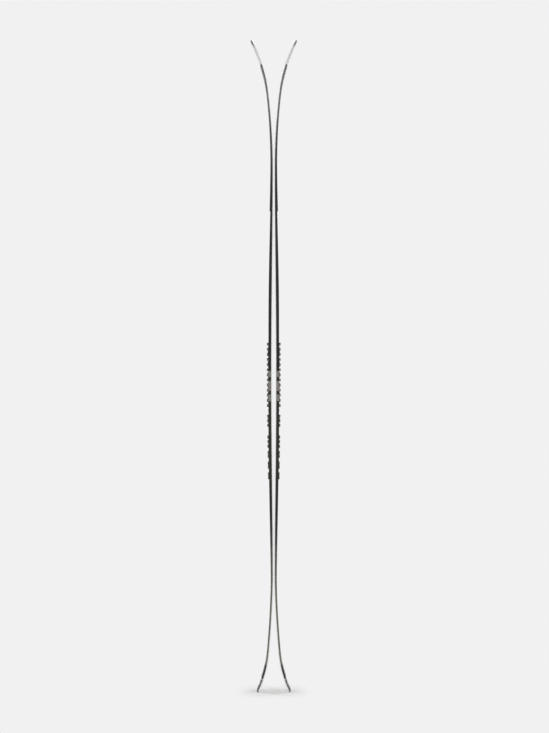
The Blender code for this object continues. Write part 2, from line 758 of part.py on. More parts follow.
def make_ski(ski, side):
    parent = bpy.data.objects.new(f"{ski}_ski", None)
    skis.objects.link(parent)

    def layer(name, section, start, end, material):
        mesh = mesh_of(lofted(section, start, end, side), name)
        return add_object(mesh, f"{ski}_{name}", material, parent)

    def pin(name, profile, along, above, across):
        frame = upright_frame(side, along, above, across)
        turned(f"{ski}_{name}", profile, frame, SCREW_STEEL, parent)

    sole = layer("base", base_section, SOLE_START, SKI_LENGTH, SOLE)
    layer("inside_edge", edge_section(1), SOLE_START, SKI_LENGTH, STEEL)
    layer("outside_edge", edge_section(-1), SOLE_START, SKI_LENGTH, STEEL)
    lower = layer("lower_laminate", lower_laminate_section, SOLE_START, SKI_LENGTH, GLASS_SHEET)
    layer("tail_filler", filler_section, BODY_START, CORE_START - FIT, FILLER_PLASTIC)
    core = layer("core", core_section, CORE_START, CORE_END, ASH_WOOD)
    layer("inside_sidewall", sidewall_section(1), CORE_START, CORE_END, SIDEWALL_PLASTIC)
    layer("outside_sidewall", sidewall_section(-1), CORE_START, CORE_END, SIDEWALL_PLASTIC)
    layer("tip_filler", filler_section, CORE_END + FIT, INSERT_START - FIT, FILLER_PLASTIC)
    layer("tip_insert", filler_section, INSERT_START, BODY_END, PALE_PLASTIC)
    upper = layer("upper_laminate", upper_laminate_section, BODY_START, BODY_END, METAL_SHEET)
    sheet = layer("top_sheet", top_sheet_section, BODY_START, BODY_END, TOP_PLASTIC)

    rear = layer("tail_protector", tail_protector_section, 0, TAIL_PROTECTOR_LENGTH, END_PLASTIC)
    under = lofted(sole_recess_section, TAIL_LIP, BODY_START + MM, side)
    recess = store_cutter(under, f"{ski}_sole_recess", parent)
    combine(rear, recess, "DIFFERENCE")
    tip_start = SKI_LENGTH - TIP_PROTECTOR_LENGTH
    front = layer("tip_protector", tip_protector_section, tip_start, SKI_LENGTH, END_PLASTIC)
    holes = rivet_holes(ski, side, parent)
    combine(rear, holes, "DIFFERENCE")
    combine(front, holes, "DIFFERENCE")
    notch = bmesh.new()
    size = TAIL_NOTCH_WIDTH / math.sqrt(2)
    middle = TAIL_NOTCH_DEPTH - TAIL_NOTCH_WIDTH / 2
    square = (-size / 2, size / 2)
    above = (-MM, 2 * sheet_top(0))
    add_box(notch, above, square, (middle + square[0], middle + square[1]), math.pi / 4)
    notch_tool = add_cutter(notch, f"{ski}_tail_notch", side, parent)
    for notched in (rear, sole, lower):
        combine(notched, notch_tool, "DIFFERENCE")

    damper = layer(
        "shovel_damper",
        shovel_damper_section,
        SHOVEL_DAMPER_START,
        INSERT_START,
        DAMPER_PLASTIC,
    )
    windows = bmesh.new()
    for i in range(DAMPER_WINDOW_COUNT):
        low = SHOVEL_DAMPER_START + DAMPER_WINDOW_START + i * DAMPER_WINDOW_PITCH
        top = sheet_top(low)
        across = (-DAMPER_WINDOW_WIDTH / 2, DAMPER_WINDOW_WIDTH / 2)
        above = (top - MM, top + 2 * SHOVEL_DAMPER_STEP)
        add_box(windows, above, across, (low, low + DAMPER_WINDOW_LENGTH))
    combine(damper, add_cutter(windows, f"{ski}_damper_windows", side, parent), "DIFFERENCE")
    layer("tail_damper", tail_damper_section, BODY_START, TAIL_DAMPER_END, DAMPER_PLASTIC)

    def to_floor(along):
        return SLOT_LEVEL

    def to_notch(along):
        return max(SLOT_LEVEL, heel_rail(along) - HEEL_NOTCH)

    toe_cuts = [(rail_slots, toe_gaps(), to_floor)]
    toe = make_track(
        ski, side, parent, "toe_track", TOE_TRACK, lambda along: TOE_RAIL, TOE_SCREW_PLACES, toe_cuts
    )
    deep, shallow = heel_gaps()
    heel_cuts = [(bending_gaps, deep, to_floor), (rail_slots, shallow, to_notch)]
    heel = make_track(
        ski, side, parent, "heel_track", HEEL_TRACK, heel_rail, HEEL_SCREW_PLACES, heel_cuts
    )
    drill = screw_holes(ski, side, parent)
    for drilled in (toe, heel, sheet, upper, core):
        combine(drilled, drill, "DIFFERENCE")

    for name, places in (("toe", TOE_SCREW_PLACES), ("heel", HEEL_SCREW_PLACES)):
        for number, (along, across) in enumerate(places, 1):
            head = sheet_top(along) + FIT + BOSS_HEIGHT
            length = head - CORE_BOTTOM - SCREW_ABOVE_LAMINATE
            pin(f"{name}_screw_{number}", screw_profile(length), along, head, across)
    along, across = STUD_PLACE
    stud = headed_pin(STUD_HEAD, STUD_DOME, STUD_SHANK, STUD_DEPTH)
    pin("centre_stud", stud, along, sheet_top(along) + GLUE, across)
    places = [("tail_rivet_1", TAIL_RIVET_PLACES[0]), ("tail_rivet_2", TAIL_RIVET_PLACES[1])]
    for name, (along, across) in places + [("tip_rivet", TIP_RIVET_PLACES[0])]:
        top = protector_top(along) + FIT
        rivet = headed_pin(RIVET_HEAD, RIVET_DOME, RIVET_SHANK, top - CORE_BOTTOM)
        pin(name, rivet, along, top, across)


make_ski("left", -1)
make_ski("right", 1)
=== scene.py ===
"""Looks of a pair of alpine skis that stand base to base on their tails.

The layers are skinned again here at full smoothness, in the order in which a press stacks them.
A height up the ski is called along, the distance from the running surface above, and the distance
from the centre line across, all in metres. The left ski is at -X and the right ski at +X.
"""

import math

import bmesh
import bpy
from mathutils import Matrix, Vector


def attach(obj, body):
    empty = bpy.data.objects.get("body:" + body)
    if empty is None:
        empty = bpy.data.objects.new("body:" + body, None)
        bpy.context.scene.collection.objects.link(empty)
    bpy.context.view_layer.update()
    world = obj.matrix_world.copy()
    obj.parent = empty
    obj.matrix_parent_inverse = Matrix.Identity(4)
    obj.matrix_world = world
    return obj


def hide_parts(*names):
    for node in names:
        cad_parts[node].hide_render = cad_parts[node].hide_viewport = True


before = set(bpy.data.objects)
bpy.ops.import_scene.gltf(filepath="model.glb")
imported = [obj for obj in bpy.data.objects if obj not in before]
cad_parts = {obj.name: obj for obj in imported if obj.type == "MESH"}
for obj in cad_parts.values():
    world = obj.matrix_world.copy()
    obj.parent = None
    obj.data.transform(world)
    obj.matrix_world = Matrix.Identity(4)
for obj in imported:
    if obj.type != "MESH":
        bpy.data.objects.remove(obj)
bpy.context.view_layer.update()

# The sole is a strip of sintered polyethylene, milky white and a little waxy, pressed between the
# steel edges. A stone has ground it with fine lines along the ski that let water run off.
MM = 0.001
SKIS = (("left", -1), ("right", 1))
SKI_LENGTH = 1800 * MM
SHOVEL_WIDTH, SHOVEL_NOSE, TIP_FLAT, TIP_ROUNDNESS = 127 * MM, 160 * MM, 24 * MM, 2.0
TAIL_WIDTH, TAIL_NOSE, TAIL_FLAT, TAIL_ROUNDNESS = 110 * MM, 130 * MM, 66 * MM, 2.6
WAIST_WIDTH, WAIST_AT, SIDECUT_EASE = 84 * MM, 790 * MM, 0.15
SHOVEL_START = SKI_LENGTH - SHOVEL_NOSE
CAMBER, CONTACT_GAP = 4.0 * MM, 0.5 * MM
TIP_ROCKER, TIP_ROCKER_LENGTH, TIP_ROCKER_POWER = 38.5 * MM, 366 * MM, 2.12
TIP_KICK, TIP_KICK_LENGTH = 20.3 * MM, 144 * MM
TAIL_ROCKER, TAIL_ROCKER_LENGTH, TAIL_ROCKER_POWER = 22.7 * MM, 322 * MM, 1.62
TAIL_KICK, TAIL_KICK_LENGTH = 19.0 * MM, 107 * MM
REAR_CONTACT, FRONT_CONTACT = TAIL_ROCKER_LENGTH, SKI_LENGTH - TIP_ROCKER_LENGTH
EDGE_WIDTH, FLANGE_WIDTH, GLUE, FIT = 2.2 * MM, 5.0 * MM, 0.15 * MM, 0.3 * MM
BASE_RIM, EDGE_TOP, SOLE_START, SOLE_GAP = 1.3 * MM, 1.95 * MM, 2.8 * MM, 0.03 * MM
NUDGE, RING_SPACING, RING_GAP, NOSE_RINGS = 0.01 * MM, 9 * MM, 0.4 * MM, 30
LEAST_KEPT = 0.3


def sidecut(share):
    arc = 1 - SIDECUT_EASE
    past = max(share - arc, 0)
    return (min(share, arc) ** 2 + 2 * arc * past - arc / SIDECUT_EASE * past**2) / arc


def nose(reach, roundness, flat, wide):
    return flat / 2 + (wide - flat) / 2 * (1 - min(reach, 1) ** roundness) ** (1 / roundness)


def half_width(along, inset=0.0):
    """Half width of the ski's outline, moved inwards all round by inset."""
    if along < TAIL_NOSE:
        reach = (TAIL_NOSE - along) / (TAIL_NOSE - inset)
        return nose(reach, TAIL_ROUNDNESS, TAIL_FLAT, TAIL_WIDTH) - inset
    if along > SHOVEL_START:
        reach = (along - SHOVEL_START) / (SHOVEL_NOSE - inset)
        return nose(reach, TIP_ROUNDNESS, TIP_FLAT, SHOVEL_WIDTH) - inset
    if along < WAIST_AT:
        wide, share = TAIL_WIDTH, (WAIST_AT - along) / (WAIST_AT - TAIL_NOSE)
    else:
        wide, share = SHOVEL_WIDTH, (along - WAIST_AT) / (SHOVEL_START - WAIST_AT)
    return WAIST_WIDTH / 2 + (wide - WAIST_WIDTH) / 2 * sidecut(share) - inset


def base_line(along):
    """Distance of the running surface from the plane between the skis."""
    reach = (2 * along - REAR_CONTACT - FRONT_CONTACT) / (FRONT_CONTACT - REAR_CONTACT)
    if abs(reach) <= 1:
        return CONTACT_GAP / 2 + CAMBER * (1 - reach**2) ** 2
    if reach > 0:
        past, length, kick_length = along - FRONT_CONTACT, TIP_ROCKER_LENGTH, TIP_KICK_LENGTH
        rocker, power, kick = TIP_ROCKER, TIP_ROCKER_POWER, TIP_KICK
    else:
        past, length, kick_length = REAR_CONTACT - along, TAIL_ROCKER_LENGTH, TAIL_KICK_LENGTH
        rocker, power, kick = TAIL_ROCKER, TAIL_ROCKER_POWER, TAIL_KICK
    into_kick = max(past - (length - kick_length), 0) / kick_length
    return CONTACT_GAP / 2 + rocker * (past / length) ** power + kick * into_kick**2


def base_slope(along):
    return (base_line(along + NUDGE) - base_line(along - NUDGE)) / (2 * NUDGE)


def ski_point(side, along, above, across):
    """World point of a point given in ski coordinates."""
    slope = base_slope(along)
    lean = above / math.hypot(1, slope)
    return Vector((side * (base_line(along) + lean), across, along - slope * lean))


def heights(start, end, spacing=RING_SPACING):
    """Heights for a layer's cross-sections, closer together where the outline rounds off."""
    rounds = [math.sin(math.pi / 2 * i / NOSE_RINGS) for i in range(NOSE_RINGS + 1)]
    count = round((SHOVEL_START - TAIL_NOSE) / spacing)
    every = [TAIL_NOSE * (1 - reach) for reach in reversed(rounds)]
    every += [TAIL_NOSE + (SHOVEL_START - TAIL_NOSE) * i / count for i in range(1, count)]
    every += [SHOVEL_START + SHOVEL_NOSE * reach for reach in rounds]
    return [start, *(along for along in every if start + RING_GAP < along < end - RING_GAP), end]


def pulled_in(section, by):
    """A cross-section with its points drawn towards its middle, for the softened end of a piece."""
    axes = []
    for values in zip(*section):
        middle, reach = (min(values) + max(values)) / 2, (max(values) - min(values)) / 2
        keep = max(1 - by / reach, LEAST_KEPT)
        axes.append([middle + (value - middle) * keep for value in values])
    return list(zip(*axes))


def bridged(bm, loops, capped=True):
    """Joins rings of points into a skin, and closes its two ends if it is capped."""
    for lower, upper in zip(loops, loops[1:]):
        for i in range(len(lower)):
            bm.faces.new((lower[i - 1], lower[i], upper[i], upper[i - 1]))
    if capped:
        bm.faces.new(loops[0])
        bm.faces.new(loops[-1])


def closed_mesh(name, bm, sharp=32):
    """Makes a mesh that faces outwards and is smooth except at edges over sharp degrees."""
    bm.normal_update()
    bmesh.ops.recalc_face_normals(bm, faces=bm.faces)
    mesh = bpy.data.meshes.new(name)
    bm.to_mesh(mesh)
    bm.free()
    mesh.shade_smooth()
    mesh.set_sharp_from_angle(angle=math.radians(sharp))
    return mesh


def skinned(name, section, alongs, side, soft=0.0, sharp=32):
    """Mesh of the cross-sections at the given heights, with ends that are softened by soft."""
    rings = [(along, section(along)) for along in alongs]
    if soft:
        (start, first), (end, last) = rings[0], rings[-1]
        rings[0], rings[-1] = (start + soft, first), (end - soft, last)
        rings = [(start, pulled_in(first, soft)), *rings, (end, pulled_in(last, soft))]
    bm = bmesh.new()
    loops = []
    for along, points in rings:
        loops.append([bm.verts.new(ski_point(side, along, *point)) for point in points])
    bridged(bm, loops)
    return closed_mesh(name, bm, sharp)


def add_piece(name, mesh, finish, ski, slot, node=None):
    """Adds a piece that moves with its ski and replaces a CAD node, by default that of its name."""
    piece = bpy.data.objects.new(f"{ski}_{name}", mesh)
    mesh.materials.clear()
    mesh.materials.append(finish)
    bpy.context.scene.collection.objects.link(piece)
    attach(piece, f"{ski}_ski")
    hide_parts(f"{ski}_{node or name}")
    return piece


def both_sides(right):
    """A cross-section from its right half, listed from the bottom up."""
    return right + [(above, -across) for above, across in reversed(right)]


def sole_section(along):
    rim = half_width(along, EDGE_WIDTH + SOLE_GAP)
    full = half_width(along, EDGE_WIDTH + FLANGE_WIDTH + GLUE)
    return both_sides([(0, rim), (BASE_RIM, rim), (BASE_RIM, full), (EDGE_TOP, full)])


def colour(code):
    """Linear colour of an sRGB hex value such as 7F7F7F."""
    shares = [int(code[i : i + 2], 16) / 255 for i in (0, 2, 4)]
    linear = [s / 12.92 if s <= 0.04045 else ((s + 0.055) / 1.055) ** 2.4 for s in shares]
    return (*linear, 1)


def wire(node, inputs):
    """Gives each named input of a node its value or its link."""
    for name, value in inputs.items():
        if isinstance(value, bpy.types.NodeSocket):
            node.id_data.links.new(value, node.inputs[name])
        else:
            node.inputs[name].default_value = value
    return node


def add_node(nodes, kind, inputs, output=0, **settings):
    """Adds a shader node with its inputs and its own settings, and gives one of its outputs."""
    node = nodes.new(kind)
    for name, value in settings.items():
        setattr(node, name, value)
    return wire(node, inputs).outputs[output]


def start_material(name):
    """A material with its nodes, its shader, and the places on the ski that patterns follow."""
    made = bpy.data.materials.new(name)
    made.use_nodes = True
    nodes = made.node_tree.nodes
    place = add_node(nodes, "ShaderNodeTexCoord", {}, "Object")
    return made, nodes, nodes["Principled BSDF"], place


def patterned(nodes, tone, pattern, low, high, dark, light):
    """Multiplies a tone by dark where the pattern is low and by light where it is high."""
    share = add_node(nodes, "ShaderNodeMapRange", {0: pattern, 1: low, 2: high, 3: dark, 4: light})
    factors = {0: 1.0, 6: tone, 7: share}
    return add_node(nodes, "ShaderNodeMix", factors, 2, data_type="RGBA", blend_type="MULTIPLY")


# Sintered polyethylene, IOR 1.51: milky with a waxy half shine. The real grinding lines are 0.5 mm
# apart and wouldn't show, so they are drawn 2.2 mm apart. A wave's bands are pi / 10 apart at scale 1.
WAVE_BAND = math.pi / 10
GRINDING, STREAK, HAZE = 2.2 * MM, 3.85 * MM, 62.5 * MM
polyethylene, nodes, shader, place = start_material("sintered_polyethylene")
lined = {"Vector": place, "Scale": WAVE_BAND / GRINDING, "Distortion": 1.4, "Detail": 1, "Detail Scale": 0.6}
lines = add_node(nodes, "ShaderNodeTexWave", lined, "Fac", bands_direction="Y")
drawn_out = add_node(nodes, "ShaderNodeMapping", {"Vector": place, "Scale": (1, 1, 0.04)})
streaks = add_node(nodes, "ShaderNodeTexNoise", {"Vector": drawn_out, "Scale": 1 / STREAK, "Detail": 3})
haze = add_node(nodes, "ShaderNodeTexNoise", {"Vector": place, "Scale": 1 / HAZE, "Detail": 2})
tones = {0: haze, 6: colour("EDEEEB"), 7: colour("F7F7F5")}
milky = add_node(nodes, "ShaderNodeMix", tones, 2, data_type="RGBA")
shine = add_node(nodes, "ShaderNodeMapRange", {0: streaks, 3: 0.3, 4: 0.52})
ground = add_node(nodes, "ShaderNodeBump", {"Height": lines, "Strength": 0.35, "Distance": 0.06 * MM})
worn = patterned(nodes, milky, streaks, 0.3, 0.75, 1, 0.93)
wire(shader, {"Base Color": worn, "Roughness": shine, "Normal": ground, "IOR": 1.51})

for ski, side in SKIS:
    mesh = skinned("sole", sole_section, heights(SOLE_START, SKI_LENGTH), side)
    add_piece("sole", mesh, polyethylene, ski, "sole", "base")

# The steel edges are rolled L-shaped strips of hardened steel, one down each side of the sole. A
# flange anchors each under the laminate, and the outer faces are ground bright along the ski.
EDGE_CORNER = 0.25 * MM


def edge_section(hand):
    def section(along):
        outer, inner = half_width(along), half_width(along, EDGE_WIDTH)
        anchor, flange = half_width(along, EDGE_WIDTH + FLANGE_WIDTH), BASE_RIM + GLUE
        corners = [(0, inner), (0, outer - EDGE_CORNER), (EDGE_CORNER, outer), (EDGE_TOP, outer)]
        corners += [(EDGE_TOP, anchor), (flange, anchor), (flange, inner)]
        return [(above, hand * across) for above, across in corners]

    return section


# Ground hardened steel: fine scratches along the edge break up its reflections. Real scratches are
# about 0.05 mm wide and are drawn ten times as coarse. The stains are as wide as a thumb.
SCRATCH, STAIN = 0.53 * MM, 22.2 * MM
edge_steel, nodes, shader, place = start_material("ground_hardened_steel")
drawn_out = add_node(nodes, "ShaderNodeMapping", {"Vector": place, "Scale": (1, 1, 0.03)})
scratches = add_node(nodes, "ShaderNodeTexNoise", {"Vector": drawn_out, "Scale": 1 / SCRATCH, "Detail": 4})
stains = add_node(nodes, "ShaderNodeTexNoise", {"Vector": place, "Scale": 1 / STAIN, "Detail": 4})
tones = {0: stains, 6: colour("E6E7E8"), 7: colour("F6F6F6")}
bright = add_node(nodes, "ShaderNodeMix", tones, 2, data_type="RGBA")
shine = add_node(nodes, "ShaderNodeMapRange", {0: scratches, 3: 0.28, 4: 0.5})
scored = add_node(nodes, "ShaderNodeBump", {"Height": scratches, "Strength": 0.25, "Distance": 0.04 * MM})
wire(shader, {"Base Color": bright, "Metallic": 1.0, "Roughness": shine, "Normal": scored})

for ski, side in SKIS:
    for name, hand in (("inside_edge", 1), ("outside_edge", -1)):
        mesh = skinned(name, edge_section(hand), heights(SOLE_START, SKI_LENGTH), side)
        add_piece(name, mesh, edge_steel, ski, "edge_steel")

# The lower laminate is a sheet of glass cloth in clear resin that bonds the edges to the core. Only
# its pale milled side shows, as a thin line between the steel and the sidewall.
CORE_BOTTOM, SIDE_STEP = 3.05 * MM, 0.2 * MM
CLOTH_TONES = ((80, "C2C3BC"), (220, "9C9D97"), (1460, "9C9D97"), (1600, "C2C3BC"), (1735, "CFD0CA"))


def slab(bottom, top, half, top_half=None):
    top_half = half if top_half is None else top_half
    return [(bottom, -half), (bottom, half), (top, top_half), (top, -top_half)]


def lower_laminate_section(along):
    return slab(EDGE_TOP, CORE_BOTTOM, half_width(along, SIDE_STEP))


def tone_by_height(nodes, place, tones, interpolation="LINEAR"):
    """A colour that runs through tones given as (height in mm, hex) pairs, from the tail up."""
    up = add_node(nodes, "ShaderNodeSeparateXYZ", {0: place}, "Z")
    low, high = tones[0][0] * MM, tones[-1][0] * MM
    share = add_node(nodes, "ShaderNodeMapRange", {0: up, 1: low, 2: high})
    tone = add_node(nodes, "ShaderNodeValToRGB", {0: share})
    tone.node.color_ramp.interpolation = interpolation
    stops = tone.node.color_ramp.elements
    stops.remove(stops[1])
    stops[0].color = colour(tones[0][1])
    for height, code in tones[1:]:
        stops.new((height * MM - low) / (high - low)).color = colour(code)
    return tone


# Glass cloth in epoxy, IOR 1.55: straw-white and satin where it is milled, and greyer along the
# waist. The yarns are 1.6 mm apart, as in a coarse structural cloth.
YARN = {"Scale": WAVE_BAND / (1.6 * MM), "Distortion": 0.5}
glass_cloth, nodes, shader, place = start_material("glass_cloth_in_epoxy")
warp = add_node(nodes, "ShaderNodeTexWave", {"Vector": place, **YARN}, "Fac", bands_direction="Y")
weft = add_node(nodes, "ShaderNodeTexWave", {"Vector": place, **YARN}, "Fac", bands_direction="Z")
woven = add_node(nodes, "ShaderNodeMath", {0: warp, 1: weft}, operation="MAXIMUM")
straw = patterned(nodes, tone_by_height(nodes, place, CLOTH_TONES), woven, 0, 1, 1, 1.16)
cloth = add_node(nodes, "ShaderNodeBump", {"Height": woven, "Strength": 0.2, "Distance": 0.1 * MM})
wire(shader, {"Base Color": straw, "Roughness": 0.42, "Normal": cloth, "IOR": 1.55})

for ski, side in SKIS:
    mesh = skinned("lower_laminate", lower_laminate_section, heights(SOLE_START, SKI_LENGTH), side)
    add_piece("lower_laminate", mesh, glass_cloth, ski, "lower_laminate")

# The core is glued up from ash strips and planed to a long wedge at both ends. It is sealed in
# between the sidewalls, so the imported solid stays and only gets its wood.
GROWTH_RING = 3 * MM

# Planed ash, IOR 1.5: growth rings about 3 mm apart, drawn along the strips.
ash, nodes, shader, place = start_material("planed_ash")
drawn_out = add_node(nodes, "ShaderNodeMapping", {"Vector": place, "Scale": (1, 1, 0.05)})
grown = {"Vector": drawn_out, "Scale": WAVE_BAND / GROWTH_RING, "Distortion": 5, "Detail": 3}
rings = add_node(nodes, "ShaderNodeTexWave", grown, "Fac", bands_direction="Y")
tones = {0: rings, 6: colour("C9A476"), 7: colour("E0C49A")}
grain = add_node(nodes, "ShaderNodeMix", tones, 2, data_type="RGBA")
wire(shader, {"Base Color": grain, "Roughness": 0.6, "IOR": 1.5})

for ski, side in SKIS:
    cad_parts[f"{ski}_core"].material_slots[0].material = ash

# The sidewalls are strips of phenolic plastic glued to the core's sides and milled to a slant. They
# are near black, turn to a flecked olive towards the tail and grey towards the tip, and carry bars.
CORE_START, CORE_END, SIDEWALL_WIDTH = 267 * MM, SKI_LENGTH - 223 * MM, 8.0 * MM
CORE_WAIST, CORE_AT_TAIL, CORE_AT_TIP = 6.1 * MM, 2.5 * MM, 1.8 * MM
CORE_TAPER_TAIL, CORE_TAPER_TIP = (130 * MM, 650 * MM), (223 * MM, 719 * MM)
FORE_SWELL, FORE_SWELL_RISE, FORE_SWELL_FALL = 0.4 * MM, (960 * MM, 1080 * MM), (1290 * MM, 1390 * MM)
SIDEWALL_SLANT = math.radians(12)
SIDE_TONES = (
    (76, "2B2C28"), (82, "787970"), (126, "63645B"), (215, "6D6E64"), (320, "626359"), (392, "53544C"),
    (412, "3C3D38"), (490, "1F1F1D"), (620, "282822"), (780, "272722"), (860, "1E1E1E"), (1130, "202020"),
    (1290, "2A2A2A"), (1385, "242424"), (1440, "383838"), (1550, "525250"), (1600, "6E6E6C"),
    (1720, "626260"),
)
GREY_BARS = (
    (792, "000000"), (801.5, "FFFFFF"), (820.5, "000000"), (830, "FFFFFF"), (857.5, "000000"),
    (868.5, "FFFFFF"), (885, "000000"),
)
BAR_GREY = "7A766F"


def ease(share):
    return 0.5 - 0.5 * math.cos(math.pi * min(max(share, 0), 1))


def core_height(along):
    (tail_start, tail_full), (tip_start, tip_full) = CORE_TAPER_TAIL, CORE_TAPER_TIP
    from_tail = ease((along - tail_start) / (tail_full - tail_start))
    from_tip = ease((SKI_LENGTH - along - tip_start) / (tip_full - tip_start))
    (rise, risen), (fall, fallen) = FORE_SWELL_RISE, FORE_SWELL_FALL
    swell = ease((along - rise) / (risen - rise)) * ease((fallen - along) / (fallen - fall))
    rear = CORE_AT_TAIL + (CORE_WAIST - CORE_AT_TAIL) * from_tail
    fore = CORE_AT_TIP + (CORE_WAIST - CORE_AT_TIP) * from_tip
    return min(rear, fore) + FORE_SWELL * swell


def core_top(along):
    return CORE_BOTTOM + core_height(along)


def upper_inset(along):
    """How far the slanted sidewall brings the upper layers in from the edge."""
    return SIDE_STEP + core_height(along) * math.tan(SIDEWALL_SLANT)


def slanted_sides(along):
    """Half widths of the core's level, at its bottom and at its top."""
    return half_width(along, SIDE_STEP), half_width(along, upper_inset(along))


def sidewall_section(hand):
    def section(along):
        inner, (low, high) = half_width(along, SIDEWALL_WIDTH), slanted_sides(along)
        corners = [(CORE_BOTTOM, inner), (CORE_BOTTOM, low), (core_top(along), high)]
        corners.append((core_top(along), inner))
        return [(above, hand * across) for above, across in corners]

    return section


def side_print(nodes, place):
    """The finish of the ski's sides: their flecked tones with the grey bars over them."""
    marks = {"Vector": place, "Scale": 1 / SIDE_FLECK, "Detail": 3, "Roughness": 0.65}
    fleck = add_node(nodes, "ShaderNodeTexNoise", marks)
    flecked = patterned(nodes, tone_by_height(nodes, place, SIDE_TONES), fleck, 0.46, 0.6, 0.82, 1.25)
    bars = tone_by_height(nodes, place, GREY_BARS, "CONSTANT")
    tones = {0: bars, 6: flecked, 7: colour(BAR_GREY)}
    return add_node(nodes, "ShaderNodeMix", tones, 2, data_type="RGBA")


# Milled phenolic, IOR 1.6 with its shine held down by the cutter marks, which run along the ski and
# are drawn 0.8 mm apart. The fleck is 6 mm wide, and the bars are a matt grey print.
SIDE_FLECK, CUTTER_MARK = 5.88 * MM, 0.83 * MM
sidewall_plastic, nodes, shader, place = start_material("milled_phenolic")
printed = side_print(nodes, place)
drawn_out = add_node(nodes, "ShaderNodeMapping", {"Vector": place, "Scale": (1, 0.2, 0.02)})
cutter = add_node(nodes, "ShaderNodeTexNoise", {"Vector": drawn_out, "Scale": 1 / CUTTER_MARK, "Detail": 2})
milled = add_node(nodes, "ShaderNodeBump", {"Height": cutter, "Strength": 0.3, "Distance": 0.05 * MM})
shine = add_node(nodes, "ShaderNodeMapRange", {0: cutter, 3: 0.5, 4: 0.7})
finish = {"Base Color": printed, "Roughness": shine, "Normal": milled}
wire(shader, {**finish, "IOR": 1.6, "Specular IOR Level": 0.15})

for ski, side in SKIS:
    for name, hand in (("inside_sidewall", 1), ("outside_sidewall", -1)):
        mesh = skinned(name, sidewall_section(hand), heights(CORE_START, CORE_END), side)
        add_piece(name, mesh, sidewall_plastic, ski, "sidewall")

# Towards both ends the core is too thin for wood, so moulded fillers carry on its level out to the
# ski's sides. The last one, before the tip, is a pale insert that shows as a light stretch.
TAIL_PROTECTOR_LENGTH, TIP_PROTECTOR_LENGTH = 35 * MM, 29 * MM
BODY_START, BODY_END = TAIL_PROTECTOR_LENGTH + FIT, SKI_LENGTH - TIP_PROTECTOR_LENGTH - FIT
INSERT_START = BODY_END - 41.5 * MM
SEAM_END = BODY_START + 1.8 * MM


def filler_section(along):
    return slab(CORE_BOTTOM, core_top(along), *slanted_sides(along))


def past_cut(nodes, place, along):
    """A value that is 1 past the ski's cross-section at that height and 0 before it."""
    slope = base_slope(along)
    out = add_node(nodes, "ShaderNodeSeparateXYZ", {0: place}, "X")
    up = add_node(nodes, "ShaderNodeSeparateXYZ", {0: place}, "Z")
    out = add_node(nodes, "ShaderNodeMath", {0: out}, operation="ABSOLUTE")
    reach = add_node(nodes, "ShaderNodeMath", {0: out, 1: slope, 2: up}, operation="MULTIPLY_ADD")
    limit = along + slope * base_line(along)
    return add_node(nodes, "ShaderNodeMath", {0: reach, 1: limit}, operation="GREATER_THAN")


# Moulded polyurethane, IOR 1.5: matt, with a fine mottle, in the tones of the sidewalls that it
# carries on from. It is pale where it is bared at the seam.
filler_plastic, nodes, shader, place = start_material("moulded_polyurethane")
printed = side_print(nodes, place)
mottle = add_node(nodes, "ShaderNodeTexNoise", {"Vector": place, "Scale": 1 / SIDE_FLECK, "Detail": 3})
tones = {0: past_cut(nodes, place, SEAM_END), 6: colour("D8D8D4"), 7: printed}
seamed = add_node(nodes, "ShaderNodeMix", tones, 2, data_type="RGBA")
mottled = add_node(nodes, "ShaderNodeBump", {"Height": mottle, "Strength": 0.15, "Distance": 0.1 * MM})
finish = {"Base Color": seamed, "Roughness": 0.6, "Normal": mottled}
wire(shader, {**finish, "IOR": 1.5, "Specular IOR Level": 0.15})

# Moulded ABS, IOR 1.54: an even pale grey with a soft shine and a trace of flow marks, 12 mm long.
FLOW_MARK = 12.5 * MM
pale_plastic, nodes, shader, place = start_material("moulded_abs")
flow = add_node(nodes, "ShaderNodeTexNoise", {"Vector": place, "Scale": 1 / FLOW_MARK, "Detail": 3})
tones = {0: flow, 6: colour("C6C6C3"), 7: colour("D6D6D4")}
pale = add_node(nodes, "ShaderNodeMix", tones, 2, data_type="RGBA")
shine = add_node(nodes, "ShaderNodeMapRange", {0: flow, 3: 0.36, 4: 0.48})
wire(shader, {"Base Color": pale, "Roughness": shine, "IOR": 1.54})

FILLERS = (
    ("tail_filler", BODY_START, CORE_START, filler_plastic, "filler"),
    ("tip_filler", CORE_END, INSERT_START, filler_plastic, "filler"),
    ("tip_insert", INSERT_START, BODY_END, pale_plastic, "tip_insert"),
)
for ski, side in SKIS:
    for name, start, end, finish, slot in FILLERS:
        add_piece(name, skinned(name, filler_section, heights(start, end), side), finish, ski, slot)

# The upper laminate is a dark anodised sheet of aluminium alloy over the whole core level. It shows
# as a hairline under the top sheet.
UPPER_LAMINATE, TOP_SHEET, TOP_BEVEL = 0.6 * MM, 0.6 * MM, 0.35 * MM


def sheet_bottom(along):
    return core_top(along) + UPPER_LAMINATE + 2 * GLUE


def upper_laminate_section(along):
    return slab(core_top(along), sheet_bottom(along), half_width(along, upper_inset(along)))


